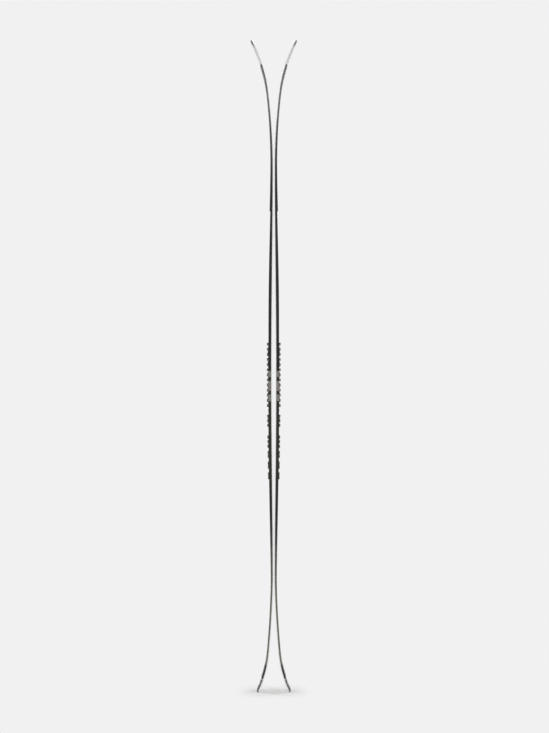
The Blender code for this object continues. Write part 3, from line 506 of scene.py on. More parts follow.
# Anodised aluminium: a satin metal dyed like the sidewalls, with rolling streaks 0.7 mm wide, and
# covered by the matt print of the bars. It is bare at the seam and under the pale end.
ROLLING_STREAK = 0.71 * MM
anodised, nodes, shader, place = start_material("anodised_aluminium")
drawn_out = add_node(nodes, "ShaderNodeMapping", {"Vector": place, "Scale": (1, 1, 0.03)})
rolling = {"Vector": drawn_out, "Scale": 1 / ROLLING_STREAK, "Detail": 2}
rolled = add_node(nodes, "ShaderNodeTexNoise", rolling)
dyed = patterned(nodes, side_print(nodes, place), rolled, 0.3, 0.7, 0.85, 1.3)
tones = {0: past_cut(nodes, place, SEAM_END), 6: colour("D6D7D8"), 7: dyed}
seamed = add_node(nodes, "ShaderNodeMix", tones, 2, data_type="RGBA")
tones = {0: past_cut(nodes, place, INSERT_START), 6: seamed, 7: colour("B8B8B6")}
bared = add_node(nodes, "ShaderNodeMix", tones, 2, data_type="RGBA")
bars = tone_by_height(nodes, place, GREY_BARS, "CONSTANT")
metallic = add_node(nodes, "ShaderNodeMath", {0: 1.0, 1: bars}, operation="SUBTRACT")
wire(shader, {"Base Color": bared, "Metallic": metallic, "Roughness": 0.45})

for ski, side in SKIS:
    mesh = skinned("upper_laminate", upper_laminate_section, heights(BODY_START, BODY_END), side)
    add_piece("upper_laminate", mesh, anodised, ski, "upper_laminate")

# The top sheet is a film of polyamide printed from below and pressed over the ski, with its long
# sides bevelled. It is graphite, with an olive block at the tail and a pale end at the tip.
OLIVE_END, OLIVE_SLANT = 430 * MM, 1.1
PINSTRIPES = ((438 * MM, 2.2 * MM), (449 * MM, 1.2 * MM))


def sheet_top(along):
    return sheet_bottom(along) + TOP_SHEET


def top_sheet_section(along):
    inset = upper_inset(along)
    wide, narrow = half_width(along, inset), half_width(along, inset + TOP_BEVEL)
    top = sheet_top(along)
    return both_sides([(sheet_bottom(along), wide), (top - TOP_BEVEL, wide), (top, narrow)])


# Polyamide film, IOR 1.53: satin over a printed twill 5 mm wide that tells of the cloth below. The
# film has a fine pebble, drawn at 0.9 mm, and its block of olive ends in a chevron with two lines.
TWILL, OLIVE_FLECK, PEBBLE = 5.07 * MM, 10.5 * MM, 0.91 * MM
film, nodes, shader, place = start_material("printed_polyamide_film")
slanted = add_node(nodes, "ShaderNodeMapping", {"Vector": place, "Rotation": (math.pi / 4, 0, 0)})
bands = {"Vector": slanted, "Scale": WAVE_BAND / TWILL}
twill = add_node(nodes, "ShaderNodeTexWave", bands, "Fac", bands_direction="Y")
cross = add_node(nodes, "ShaderNodeTexWave", bands, "Fac", bands_direction="Z")
weave = add_node(nodes, "ShaderNodeMath", {0: twill, 1: cross}, operation="MULTIPLY")
tones = {0: weave, 6: colour("1E1F21"), 7: colour("2D2E31")}
graphite = add_node(nodes, "ShaderNodeMix", tones, 2, data_type="RGBA")
marks = {"Vector": place, "Scale": 1 / OLIVE_FLECK, "Detail": 4, "Roughness": 0.7}
fleck = add_node(nodes, "ShaderNodeTexNoise", marks)
flecked = add_node(nodes, "ShaderNodeMapRange", {0: fleck, 1: 0.5, 2: 0.66})
tones = {0: flecked, 6: colour("2A2B25"), 7: colour("4A4C40")}
olive = add_node(nodes, "ShaderNodeMix", tones, 2, data_type="RGBA")
across = add_node(nodes, "ShaderNodeSeparateXYZ", {0: place}, "Y")
up = add_node(nodes, "ShaderNodeSeparateXYZ", {0: place}, "Z")
spread = add_node(nodes, "ShaderNodeMath", {0: across}, operation="ABSOLUTE")
chevron = add_node(nodes, "ShaderNodeMath", {0: spread, 1: OLIVE_SLANT, 2: up}, operation="MULTIPLY_ADD")
rear = add_node(nodes, "ShaderNodeMath", {0: chevron, 1: OLIVE_END}, operation="LESS_THAN")
graphic = add_node(nodes, "ShaderNodeMix", {0: rear, 6: graphite, 7: olive}, 2, data_type="RGBA")
for middle, half in PINSTRIPES:
    line = add_node(nodes, "ShaderNodeMath", {0: chevron, 1: middle, 2: half}, operation="COMPARE")
    tones = {0: line, 6: graphic, 7: colour("A9A8A2")}
    graphic = add_node(nodes, "ShaderNodeMix", tones, 2, data_type="RGBA")
tones = {0: past_cut(nodes, place, SEAM_END), 6: colour("D8D8D4"), 7: graphic}
seamed = add_node(nodes, "ShaderNodeMix", tones, 2, data_type="RGBA")
facing = add_node(nodes, "ShaderNodeTexCoord", {}, "Normal")
sideways = add_node(nodes, "ShaderNodeSeparateXYZ", {0: facing}, "Y")
sideways = add_node(nodes, "ShaderNodeMath", {0: sideways}, operation="ABSOLUTE")
on_side = add_node(nodes, "ShaderNodeMath", {0: sideways, 1: 0.5}, operation="GREATER_THAN")
tones = {0: on_side, 6: seamed, 7: side_print(nodes, place)}
sided = add_node(nodes, "ShaderNodeMix", tones, 2, data_type="RGBA")
past_insert = past_cut(nodes, place, INSERT_START)
tones = {0: past_insert, 6: sided, 7: colour("C4C4C1")}
printed = add_node(nodes, "ShaderNodeMix", tones, 2, data_type="RGBA")
pebble = add_node(nodes, "ShaderNodeTexNoise", {"Vector": place, "Scale": 1 / PEBBLE, "Detail": 2})
relief = add_node(nodes, "ShaderNodeMath", {0: weave, 1: 0.6, 2: pebble}, operation="MULTIPLY_ADD")
pressed = add_node(nodes, "ShaderNodeBump", {"Height": relief, "Strength": 0.3, "Distance": 0.06 * MM})
shine = add_node(nodes, "ShaderNodeMapRange", {0: pebble, 3: 0.3, 4: 0.46})
shine = add_node(nodes, "ShaderNodeMath", {0: past_insert, 1: 0.25, 2: shine}, operation="MULTIPLY_ADD")
finish = {"Base Color": printed, "Roughness": shine, "Normal": pressed}
wire(shader, {**finish, "IOR": 1.53, "Specular IOR Level": 0.4})

for ski, side in SKIS:
    mesh = skinned("top_sheet", top_sheet_section, heights(BODY_START, BODY_END), side, sharp=24)
    add_piece("top_sheet", mesh, film, ski, "top_sheet")

# The protectors are moulded blocks riveted over both ends of the ski. The tail's wraps the end that
# is stood on hard floors, and a V-shaped notch in it takes the hook of a climbing skin.
TAIL_LIP, PROTECTOR_ROUND, ROUND_STEPS, END_SOFT = 2.5 * MM, 0.9 * MM, 3, 0.4 * MM
NOTCH_DEPTH, NOTCH_WEDGE, NOTCH_LEVELS = 7 * MM, 12 * MM, (-4 * MM, 12 * MM)
TIP_PROTECTOR_THIN, TAIL_PROTECTOR_THIN = 0.1 * MM, (1.6 * MM, 1.4 * MM)
SCUFF_FADES, SCUFF_FULL, TIP_PALE, TIP_DARK = 6 * MM, 1 * MM, 24 * MM, 13 * MM


def moulded_section(along, bottom, top):
    """A block over the whole width of the ski, with its upper corners rounded."""
    low, high = slanted_sides(along)
    right = [(bottom, low), (top - PROTECTOR_ROUND, high)]
    for step in range(1, ROUND_STEPS + 1):
        turn = math.pi / 2 / ROUND_STEPS * step
        sunk, inset = PROTECTOR_ROUND * (1 - math.sin(turn)), PROTECTOR_ROUND * (1 - math.cos(turn))
        right.append((top - sunk, high - inset))
    return both_sides(right)


def tail_protector_section(along):
    bottom = 0 if along < TAIL_LIP + FIT / 2 else CORE_BOTTOM
    at_end, at_body = TAIL_PROTECTOR_THIN
    top = sheet_top(along) - at_end - (at_body - at_end) * along / TAIL_PROTECTOR_LENGTH
    return moulded_section(along, bottom, top)


def tip_protector_section(along):
    reach = 1 - (SKI_LENGTH - along) / TIP_PROTECTOR_LENGTH
    return moulded_section(along, CORE_BOTTOM, sheet_top(along) - TIP_PROTECTOR_THIN * reach)


def cut_through(piece, side, outline, levels):
    """Cuts a hole of that (across, along) outline out of a piece, between two levels above."""
    bm = bmesh.new()
    loops = []
    for above in levels:
        loops.append([bm.verts.new(ski_point(side, along, above, across)) for across, along in outline])
    bridged(bm, loops)
    tool = bpy.data.objects.new("tool", closed_mesh("tool", bm))
    bpy.context.scene.collection.objects.link(tool)
    carve = piece.modifiers.new("cut", "BOOLEAN")
    carve.operation, carve.solver, carve.object = "DIFFERENCE", "EXACT", tool
    bpy.context.view_layer.update()
    seen = piece.evaluated_get(bpy.context.evaluated_depsgraph_get())
    carved = bpy.data.meshes.new_from_object(seen)
    piece.modifiers.clear()
    piece.data = carved
    bpy.data.objects.remove(tool)


# Glass-filled polyamide, IOR 1.53: a dull dark grey with a spark-eroded mould grain, drawn at
# 0.7 mm, and paler scuffs where the block meets the floor. The tip's block is pale at its rear.
MOULD_GRAIN, SCUFF = 0.71 * MM, 4.17 * MM
end_plastic, nodes, shader, place = start_material("glass_filled_polyamide")
up = add_node(nodes, "ShaderNodeSeparateXYZ", {0: place}, "Z")
mould = add_node(nodes, "ShaderNodeTexNoise", {"Vector": place, "Scale": 1 / MOULD_GRAIN, "Detail": 3})
marks = {"Vector": place, "Scale": 1 / SCUFF, "Detail": 5, "Roughness": 0.7}
patches = add_node(nodes, "ShaderNodeTexNoise", marks)
fades = {0: up, 1: SCUFF_FADES, 2: SCUFF_FULL, 3: 0, 4: 1.5}
near_floor = add_node(nodes, "ShaderNodeMapRange", fades)
scuff_and_highlight = add_node(nodes, "ShaderNodeMath", {0: patches, 1: near_floor}, operation="MULTIPLY")
tones = {0: patches, 6: colour("3B3B39"), 7: colour("4A4A47")}
dull = add_node(nodes, "ShaderNodeMix", tones, 2, data_type="RGBA")
tones = {0: scuff_and_highlight, 6: dull, 7: colour("B4B3AE")}
rubbed_and_highlit = add_node(nodes, "ShaderNodeMix", tones, 2, data_type="RGBA")
to_tip = add_node(nodes, "ShaderNodeMapRange", {0: up, 1: SKI_LENGTH - TIP_PALE, 2: SKI_LENGTH - TIP_DARK})
tones = {0: to_tip, 6: colour("C8C8C5"), 7: colour("5A5A58")}
tip_grey = add_node(nodes, "ShaderNodeMix", tones, 2, data_type="RGBA")
at_tip = add_node(nodes, "ShaderNodeMath", {0: up, 1: SKI_LENGTH / 2}, operation="GREATER_THAN")
moulded = add_node(nodes, "ShaderNodeMix", {0: at_tip, 6: rubbed_and_highlit, 7: tip_grey}, 2, data_type="RGBA")
grained = add_node(nodes, "ShaderNodeBump", {"Height": mould, "Strength": 0.35, "Distance": 0.08 * MM})
shine = add_node(nodes, "ShaderNodeMapRange", {0: mould, 3: 0.48, 4: 0.66})
finish = {"Base Color": moulded, "Roughness": shine, "Normal": grained}
wire(shader, {**finish, "IOR": 1.53, "Specular IOR Level": 0.3})

notch_back = NOTCH_DEPTH - NOTCH_WEDGE
notch = ((0, NOTCH_DEPTH), (NOTCH_WEDGE, notch_back), (-NOTCH_WEDGE, notch_back))
for ski, side in SKIS:
    rings = sorted([*heights(0, TAIL_PROTECTOR_LENGTH), TAIL_LIP, TAIL_LIP + FIT])
    mesh = skinned("tail_protector", tail_protector_section, rings, side, END_SOFT)
    protector = add_piece("tail_protector", mesh, end_plastic, ski, "end_piece")
    for notched in (protector, bpy.data.objects[f"{ski}_sole"]):
        cut_through(notched, side, notch, NOTCH_LEVELS)
    rings = heights(SKI_LENGTH - TIP_PROTECTOR_LENGTH, SKI_LENGTH)
    mesh = skinned("tip_protector", tip_protector_section, rings, side, END_SOFT)
    add_piece("tip_protector", mesh, end_plastic, ski, "end_piece")

# The dampers are plates of hard rubber bonded to the top sheet: a long wedge on the shovel with
# three rounded windows and a step nearer the boot, and a short ribbed plate above the tail.
DAMPER_INSET, DAMPER_BEVEL, DAMPER_SOFT = 11 * MM, 1.2 * MM, 0.15 * MM
DAMPER_LENGTH, DAMPER_STEP, DAMPER_TIP = 402 * MM, 1.9 * MM, 0.6 * MM
DAMPER_SWELL, DAMPER_NOSE, NOSE_SHARE = (0.1, 0.6), 0.65 * MM, 0.2
DAMPER_ROUND, DAMPER_BLUNT, DAMPER_START = 30 * MM, 0.6, INSERT_START - DAMPER_LENGTH
WINDOWS, WINDOW_LENGTH, WINDOW_WIDTH, WINDOW_STEPS = 3, 66 * MM, 14 * MM, 15
WINDOW_START, WINDOW_PITCH, WINDOW_BELOW, WINDOW_ABOVE = 60 * MM, 90 * MM, MM, 6 * MM
TAIL_DAMPER_END, TAIL_DAMPER, TAIL_DAMPER_ROUND = BODY_START + 39 * MM, 0.35 * MM, 14 * MM
TAIL_DAMPER_BLUNT, TAIL_DAMPER_SPACING, TAIL_DAMPER_SOFT = 0.4, 3 * MM, 0.3 * MM
RUBBER_TONES = ((1385, "1E1E1E"), (1440, "333333"), (1550, "484846"), (1610, "5E5E5B"))


def rounded_end(distance, radius, blunt):
    """Share of its full width that a plate has near its end, which is blunt times as wide."""
    return blunt + (1 - blunt) * math.sqrt(1 - (1 - min(distance / radius, 1)) ** 2)


def rounding(at, reach, steps):
    """Heights for the cross-sections of a rounded end, closer together at its very end."""
    return [at + reach * (1 - math.cos(math.pi / 2 * i / steps)) for i in range(1, steps)]


def overlay_section(along, half, thickness):
    bottom = sheet_top(along)
    bevel, top = min(DAMPER_BEVEL, thickness / 2), bottom + GLUE + thickness
    soft = bevel / 4
    right = [(bottom, half), (top - bevel - soft, half), (top - bevel + soft, half - soft)]
    right += [(top - soft, half - bevel), (top, half - bevel - 2 * soft)]
    return both_sides(right)


def shovel_damper_section(along):
    share = (INSERT_START - along) / DAMPER_LENGTH
    blunt = rounded_end(along - DAMPER_START, DAMPER_ROUND, DAMPER_BLUNT)
    thin, full = DAMPER_SWELL
    thickness = DAMPER_TIP + (DAMPER_STEP - DAMPER_TIP) * ease((share - thin) / (full - thin))
    thickness += DAMPER_NOSE * ease(1 - share / NOSE_SHARE)
    return overlay_section(along, half_width(along, DAMPER_INSET) * blunt, thickness)


def tail_damper_section(along):
    blunt = rounded_end(TAIL_DAMPER_END - along, TAIL_DAMPER_ROUND, TAIL_DAMPER_BLUNT)
    return overlay_section(along, half_width(along, DAMPER_INSET) * blunt, TAIL_DAMPER * blunt)


def window_outline(low):
    """A slot with round ends, as (across, along) points."""
    radius, points = WINDOW_WIDTH / 2, []
    for start, middle in ((0, low + WINDOW_LENGTH - radius), (math.pi, low + radius)):
        for step in range(WINDOW_STEPS + 1):
            turn = start + math.pi * step / WINDOW_STEPS
            points.append((radius * math.cos(turn), middle + radius * math.sin(turn)))
    return points


# Hard rubber, IOR 1.52: nearly black, greyer towards the tip, and satin, with moulded ribs 6 mm
# apart that run across the ski and a dusty bloom in patches as wide as a finger.
BLOOM, RIB, RUBBER_GRAIN = 16.7 * MM, 6.04 * MM, 1.11 * MM
rubber, nodes, shader, place = start_material("hard_rubber")
marks = {"Vector": place, "Scale": 1 / BLOOM, "Detail": 5, "Roughness": 0.6}
bloom = add_node(nodes, "ShaderNodeTexNoise", marks)
dusty = patterned(nodes, tone_by_height(nodes, place, RUBBER_TONES), bloom, 0.25, 0.75, 0.75, 1.25)
bands = {"Vector": place, "Scale": WAVE_BAND / RIB}
ribs = add_node(nodes, "ShaderNodeTexWave", bands, "Fac", bands_direction="Z")
skin = add_node(nodes, "ShaderNodeTexNoise", {"Vector": place, "Scale": 1 / RUBBER_GRAIN, "Detail": 2})
relief = add_node(nodes, "ShaderNodeMath", {0: skin, 1: 0.25, 2: ribs}, operation="MULTIPLY_ADD")
ribbed = add_node(nodes, "ShaderNodeBump", {"Height": relief, "Strength": 0.5, "Distance": 0.25 * MM})
finish = {"Base Color": dusty, "Roughness": 0.45, "Normal": ribbed}
wire(shader, {**finish, "IOR": 1.52, "Specular IOR Level": 0.3})

for ski, side in SKIS:
    rings = heights(DAMPER_START, INSERT_START) + rounding(DAMPER_START, DAMPER_ROUND, 10)
    mesh = skinned("shovel_damper", shovel_damper_section, sorted(rings), side, DAMPER_SOFT, 24)
    damper = add_piece("shovel_damper", mesh, rubber, ski, "damper")
    for number in range(WINDOWS):
        low = DAMPER_START + WINDOW_START + number * WINDOW_PITCH
        levels = (sheet_top(low) - WINDOW_BELOW, sheet_top(low) + WINDOW_ABOVE)
        cut_through(damper, side, window_outline(low), levels)
    damper.data.shade_flat()
    rings = heights(SEAM_END, TAIL_DAMPER_END, TAIL_DAMPER_SPACING)
    rings += rounding(TAIL_DAMPER_END, -TAIL_DAMPER_ROUND, 8)
    mesh = skinned("tail_damper", tail_damper_section, sorted(rings), side, TAIL_DAMPER_SOFT, 24)
    add_piece("tail_damper", mesh, rubber, ski, "damper")

# The binding tracks are moulded plates screwed to the ski on either side of the boot centre. Each
# has two toothed rails with lips that a binding slides under, and a rack that it locks into.
BOOT_CENTRE, TRACK_WIDTH, TRACK_FLOOR, FLOOR_STEPS = 778 * MM, 60 * MM, 0.45 * MM, 24
RAIL_WIDTH, LIP, LIP_THICKNESS = 8.0 * MM, 2.5 * MM, 1.1 * MM
RACK_WIDTH, RACK_HEIGHT, RACK_PITCH, RACK_SLOT = 12 * MM, 1.6 * MM, 10 * MM, 4.5 * MM
TRACK_CORNER, TRACK_SOFT, TRACK_MERGE = 6 * MM, 0.3 * MM, 0.005 * MM
TOE_TRACK_START, TOE_TEETH, TOE_PITCH = 8.1 * MM, 13, 14.1 * MM
TOE_TOOTH, TOE_RAIL = 7.6 * MM, 4.0 * MM
HEEL_TRACK_START, HEEL_TRACK_LENGTH = 13.5 * MM, 178 * MM
HEEL_BLOCKS = (
    (30.5 * MM, 3, 12.5 * MM),
    (88.2 * MM, 3, 12.8 * MM),
    (123.3 * MM, 2, 10 * MM),
    (153 * MM, 2, 11 * MM),
    (182.5 * MM, 2, 10 * MM),
)
HEEL_TOOTH, HEEL_BAR, HEEL_RAIL_FRONT, HEEL_RAIL_REAR = 7.5 * MM, 0.9 * MM, 3.7 * MM, 2.6 * MM
TOE_TRACK_END = BOOT_CENTRE + TOE_TRACK_START + (TOE_TEETH - 1) * TOE_PITCH + TOE_TOOTH
TRACKS = {
    "toe_track": (BOOT_CENTRE + TOE_TRACK_START, TOE_TRACK_END),
    "heel_track": (BOOT_CENTRE - HEEL_TRACK_START - HEEL_TRACK_LENGTH, BOOT_CENTRE - HEEL_TRACK_START),
}
SCREW_OFFSETS = {"toe_track": (42.5 * MM, 155.3 * MM), "heel_track": (-28 * MM, -151.5 * MM)}
SCREW_SPREAD, BOSS_RADIUS, BOSS_HEIGHT, BOSS_FOOT, BOSS_SIDES = 32 * MM, 5.5 * MM, 1.8 * MM, 0.1 * MM, 36
SCREW_HEAD, SCREW_CONE, SCREW_SHANK = 9.2 * MM, 1.6 * MM, 5.0 * MM


def track_layout(track):
    """Each tooth's start, length and rail height, and each rack's two ends, in a track."""
    low, high = TRACKS[track]
    if track == "toe_track":
        return [(low + tooth * TOE_PITCH, TOE_TOOTH, TOE_RAIL) for tooth in range(TOE_TEETH)], [(low, high)]
    teeth, racks = [], []
    for centre, count, pitch in HEEL_BLOCKS:
        length = (count - 1) * pitch + HEEL_TOOTH
        start = BOOT_CENTRE - centre - length / 2
        racks.append((start, BOOT_CENTRE - centre + length / 2))
        for tooth in range(count):
            at = start + tooth * pitch
            share = (at + HEEL_TOOTH / 2 - low) / (high - low)
            teeth.append((at, HEEL_TOOTH, HEEL_RAIL_REAR + (HEEL_RAIL_FRONT - HEEL_RAIL_REAR) * share))
    return teeth, racks


def screw_places(track):
    hands = (-1, 1)
    return [(BOOT_CENTRE + at, hand * SCREW_SPREAD / 2) for at in SCREW_OFFSETS[track] for hand in hands]


def rail_section(seat, rail):
    """The cross-section of a tooth of a rail, with the lip that a binding slides under."""
    half, lip, top = TRACK_WIDTH / 2, seat + rail - LIP_THICKNESS, seat + rail
    inner = half - RAIL_WIDTH
    return [(seat, half - LIP), (lip, half - LIP), (lip, half), (top, half), (top, inner), (seat, inner)]


def add_bar(bm, points, low, high, hands=(1, -1), steps=1):
    """Adds a straight bar with that (above, across) cross-section to a flat track, on both sides."""
    for hand in hands:
        loops = []
        for i in range(steps + 1):
            along = low + (high - low) * i / steps
            loops.append([bm.verts.new((above, hand * across, along)) for above, across in points])
        bridged(bm, loops)


def ring(bm, radius, height, sides=40):
    turns = [2 * math.pi * i / sides for i in range(sides)]
    return [bm.verts.new((radius * math.cos(t), radius * math.sin(t), height)) for t in turns]


def add_boss(bm, seat, along, across):
    """Adds the raised ring that a screw's head sits in to a flat track."""
    top = FIT + BOSS_HEIGHT
    profile = [(BOSS_RADIUS, BOSS_FOOT), (BOSS_RADIUS, top), (SCREW_HEAD / 2 + FIT, top)]
    profile.append((SCREW_SHANK / 2 + FIT, top - SCREW_CONE))
    loops = [ring(bm, *point, BOSS_SIDES) for point in profile]
    upright = Matrix(((0, 0, 1, seat), (1, 0, 0, across), (0, 1, 0, along), (0, 0, 0, 1)))
    bmesh.ops.transform(bm, matrix=upright, verts=[vert for loop in loops for vert in loop])
    bridged(bm, [*loops, loops[0]], capped=False)


def track_mesh(track, side):
    """A track drawn flat, with X out of the ski and Z up it, and then bent onto the ski."""
    (low, high), (teeth, racks) = TRACKS[track], track_layout(track)
    seat, half = sheet_top((low + high) / 2), TRACK_WIDTH / 2
    bm = bmesh.new()
    add_bar(bm, slab(seat, seat + TRACK_FLOOR, half - LIP), low, high, (1,), FLOOR_STEPS)
    for at, length, rail in teeth:
        add_bar(bm, rail_section(seat, FIT + rail), at, at + length)
    if track == "heel_track":
        top, inner = seat + HEEL_BAR, half - RAIL_WIDTH
        stem = [(seat, inner), (seat, half - LIP), (top, half - LIP), (top, inner)]
        for start, end in racks:
            add_bar(bm, stem, start + FIT, end - FIT)
    ridge = slab(seat, seat + FIT + RACK_HEIGHT, RACK_WIDTH / 2)
    for start, end in racks:
        count = round((end - start) / RACK_PITCH)
        step = (end - start) / count
        for i in range(count):
            middle, reach = start + (i + 0.5) * step, (step - RACK_SLOT) / 2
            add_bar(bm, ridge, middle - reach, middle + reach, (1,))
    for end, out in ((low, -1), (high, 1)):
        for hand in (1, -1):
            corner, outwards = (0, hand * half, end - out * TRACK_CORNER), (0, hand, out)
            geometry = [*bm.verts, *bm.edges, *bm.faces]
            clipped = {"geom": geometry, "plane_co": corner, "plane_no": outwards, "clear_outer": True}
            made = bmesh.ops.bisect_plane(bm, **clipped)
            rims = [e for e in made["geom_cut"] if isinstance(e, bmesh.types.BMEdge)]
            bmesh.ops.holes_fill(bm, edges=rims, sides=0)
    for along, across in screw_places(track):
        add_boss(bm, seat, along, across)
    crest = bm.verts.layers.float.new("crest")
    for vert in bm.verts:
        vert[crest] = (vert.co.x - seat) / (FIT + TOE_RAIL)
        vert.co = ski_point(side, vert.co.z, vert.co.x, vert.co.y)
    return closed_mesh(track, bm)


# The same glass-filled polyamide, moulded darker, IOR 1.53, with its grain drawn at 0.9 mm. The teeth
# have a painted highlight: lighter towards their crests, and pale on their outer sides and lips.
TRACK_GRAIN, TRACK_PATCH, LIP_FADE = 0.91 * MM, 8.33 * MM, 0.4 * MM
track_plastic, nodes, shader, place = start_material("glass_filled_polyamide_black")
across = add_node(nodes, "ShaderNodeSeparateXYZ", {0: place}, "Y")
mould = add_node(nodes, "ShaderNodeTexNoise", {"Vector": place, "Scale": 1 / TRACK_GRAIN, "Detail": 3})
marks = {"Vector": place, "Scale": 1 / TRACK_PATCH, "Detail": 4, "Roughness": 0.7}
patches = add_node(nodes, "ShaderNodeTexNoise", marks)
crest = add_node(nodes, "ShaderNodeAttribute", {}, "Fac", attribute_name="crest")
# Painted highlight: the teeth are drawn lighter towards their crests.
tones = {0: crest, 6: colour("2A2A28"), 7: colour("55534F")}
scuff_and_highlight = add_node(nodes, "ShaderNodeMix", tones, 2, data_type="RGBA")
spread = add_node(nodes, "ShaderNodeMath", {0: across}, operation="ABSOLUTE")
lip_at = TRACK_WIDTH / 2 - LIP
outer = add_node(nodes, "ShaderNodeMapRange", {0: spread, 1: lip_at - LIP_FADE, 2: lip_at})
above_plate = add_node(nodes, "ShaderNodeMapRange", {0: crest, 1: 0.1, 2: 0.2})
on_lip = add_node(nodes, "ShaderNodeMath", {0: outer, 1: above_plate}, operation="MULTIPLY")
# Painted highlight: the outer sides and lips of the teeth are drawn pale.
tones = {0: on_lip, 6: scuff_and_highlight, 7: colour("B4B0A7")}
rubbed_and_highlit = add_node(nodes, "ShaderNodeMix", tones, 2, data_type="RGBA")
worn = patterned(nodes, rubbed_and_highlit, patches, 0.3, 0.7, 0.85, 1.15)
grained = add_node(nodes, "ShaderNodeBump", {"Height": mould, "Strength": 0.35, "Distance": 0.08 * MM})
shine = add_node(nodes, "ShaderNodeMapRange", {0: mould, 3: 0.45, 4: 0.62})
finish = {"Base Color": worn, "Roughness": shine, "Normal": grained}
wire(shader, {**finish, "IOR": 1.53, "Specular IOR Level": 0.3})

for ski, side in SKIS:
    for name in TRACKS:
        track = add_piece(name, track_mesh(name, side), track_plastic, ski, "track")
        soften = track.modifiers.new("soften", "BEVEL")
        soften.width, soften.segments = TRACK_SOFT, 2
        soften.limit_method, soften.angle_limit = "ANGLE", math.radians(40)
        soften.harden_normals = True
        tidied = track.modifiers.new("tidied", "WELD")
        tidied.mode, tidied.merge_threshold = "CONNECTED", TRACK_MERGE

# Eight countersunk screws per ski hold the tracks, with heads flush in their bosses and cross
# recesses for the driver. They are zinc-plated steel.
SCREW_POINT, SCREW_TIP, SCREW_ABOVE_LAMINATE = 1.2 * MM, 0.3 * MM, 1.2 * MM
HEAD_CHAMFER, HEAD_RIM, DRIVEN_TURN, DRIVEN_SPREAD = 0.15 * MM, 0.12 * MM, 0.7, 40
RECESS_REACH, RECESS_WIDTH, RECESS_DEPTH, RECESS_TAPER = 2.7 * MM, 1.1 * MM, 1.3 * MM, 0.6


def upright_frame(side, along, above, across):
    """Matrix at a place on the ski whose Z axis points straight out of the top sheet."""
    start = ski_point(side, along, above, across)
    out = (ski_point(side, along, above + MM, across) - start).normalized()
    sideways = Vector((0, 1, 0))
    turn = Matrix((sideways.cross(out), sideways, out)).transposed().to_4x4()
    return Matrix.Translation(start) @ turn


def recess_ring(bm, shrink, height):
    """Outline of a cross, as in a driver's recess."""
    far, near = RECESS_REACH * shrink, RECESS_WIDTH / 2 * shrink
    points = [(far, -near), (far, near), (near, near)]
    points += [(-y, x) for x, y in points]
    points += [(-x, -y) for x, y in points]
    return [bm.verts.new((x, y, height)) for x, y in points]


def screw_mesh(name, length, stand):
    """A screw whose head's face is at the origin of the frame that it stands in."""
    bm = bmesh.new()
    rim, shank = SCREW_HEAD / 2, SCREW_SHANK / 2
    profile = [(rim - HEAD_CHAMFER, 0), (rim, -HEAD_RIM), (shank, -SCREW_CONE)]
    profile += [(shank, SCREW_POINT - length), (SCREW_TIP, -length)]
    loops = [ring(bm, *point) for point in profile]
    bridged(bm, loops, capped=False)
    bm.faces.new(loops[-1])
    mouth, foot = recess_ring(bm, 1, 0), recess_ring(bm, RECESS_TAPER, -RECESS_DEPTH)
    rims = []
    for loop in (loops[0], mouth):
        for pair in zip([loop[-1], *loop], loop):
            rims.append(bm.edges.get(pair) or bm.edges.new(pair))
    bmesh.ops.triangle_fill(bm, use_beauty=True, use_dissolve=False, edges=rims)
    bridged(bm, (mouth, foot), capped=False)
    bm.faces.new(foot)
    bm.transform(stand)
    return closed_mesh(name, bm)


# Zinc-plated steel: bluish bright metal with a spangle about 2 mm wide and fine tumbling marks.
SPANGLE, TUMBLE_MARK = 2.08 * MM, 0.67 * MM
zinc, nodes, shader, place = start_material("zinc_plated_steel")
spangle = add_node(nodes, "ShaderNodeTexVoronoi", {"Vector": place, "Scale": 1 / SPANGLE})
tumbled = add_node(nodes, "ShaderNodeTexNoise", {"Vector": place, "Scale": 1 / TUMBLE_MARK, "Detail": 3})
tones = {0: tumbled, 6: colour("9EA1A4"), 7: colour("C6C8CA")}
plated = add_node(nodes, "ShaderNodeMix", tones, 2, data_type="RGBA")
shine = add_node(nodes, "ShaderNodeMapRange", {0: spangle, 3: 0.24, 4: 0.44})
wire(shader, {"Base Color": plated, "Metallic": 1.0, "Roughness": shine})

for ski, side in SKIS:
    for track in TRACKS:
        for number, (along, across) in enumerate(screw_places(track), 1):
            head = sheet_top(along) + FIT + BOSS_HEIGHT
            turn = Matrix.Rotation(DRIVEN_TURN * number + DRIVEN_SPREAD * across, 4, "Z")
            stand = upright_frame(side, along, head, across) @ turn
            name = track.replace("track", f"screw_{number}")
            mesh = screw_mesh(name, head - CORE_BOTTOM - SCREW_ABOVE_LAMINATE, stand)
            add_piece(name, mesh, zinc, ski, "fastener")

# A low domed stud marks the boot centre between the tracks. Rivets of the same steel, two at the
# tail and one at the tip, clamp the end pieces. Each pin is a head's width, a dome and a depth.
STUD, TAIL_RIVET, TIP_RIVET = (7 * MM, 1.5 * MM, 4 * MM), (7 * MM, MM, 4 * MM), (7 * MM, MM, 2.5 * MM)
STUD_OFFSET, TAIL_RIVETS_AT, TIP_RIVET_AT, RIVET_SPREAD = -1.0 * MM, 19 * MM, SKI_LENGTH - 15 * MM, 40 * MM
PIN_SHANK, DIMPLE, DIMPLE_FLOOR, DIMPLE_EDGE = 3.0 * MM, 0.2 * MM, 0.97, 0.94
DOME_FLAT, DOME_STEPS, DOME_FALL = 0.12, 8, 0.8


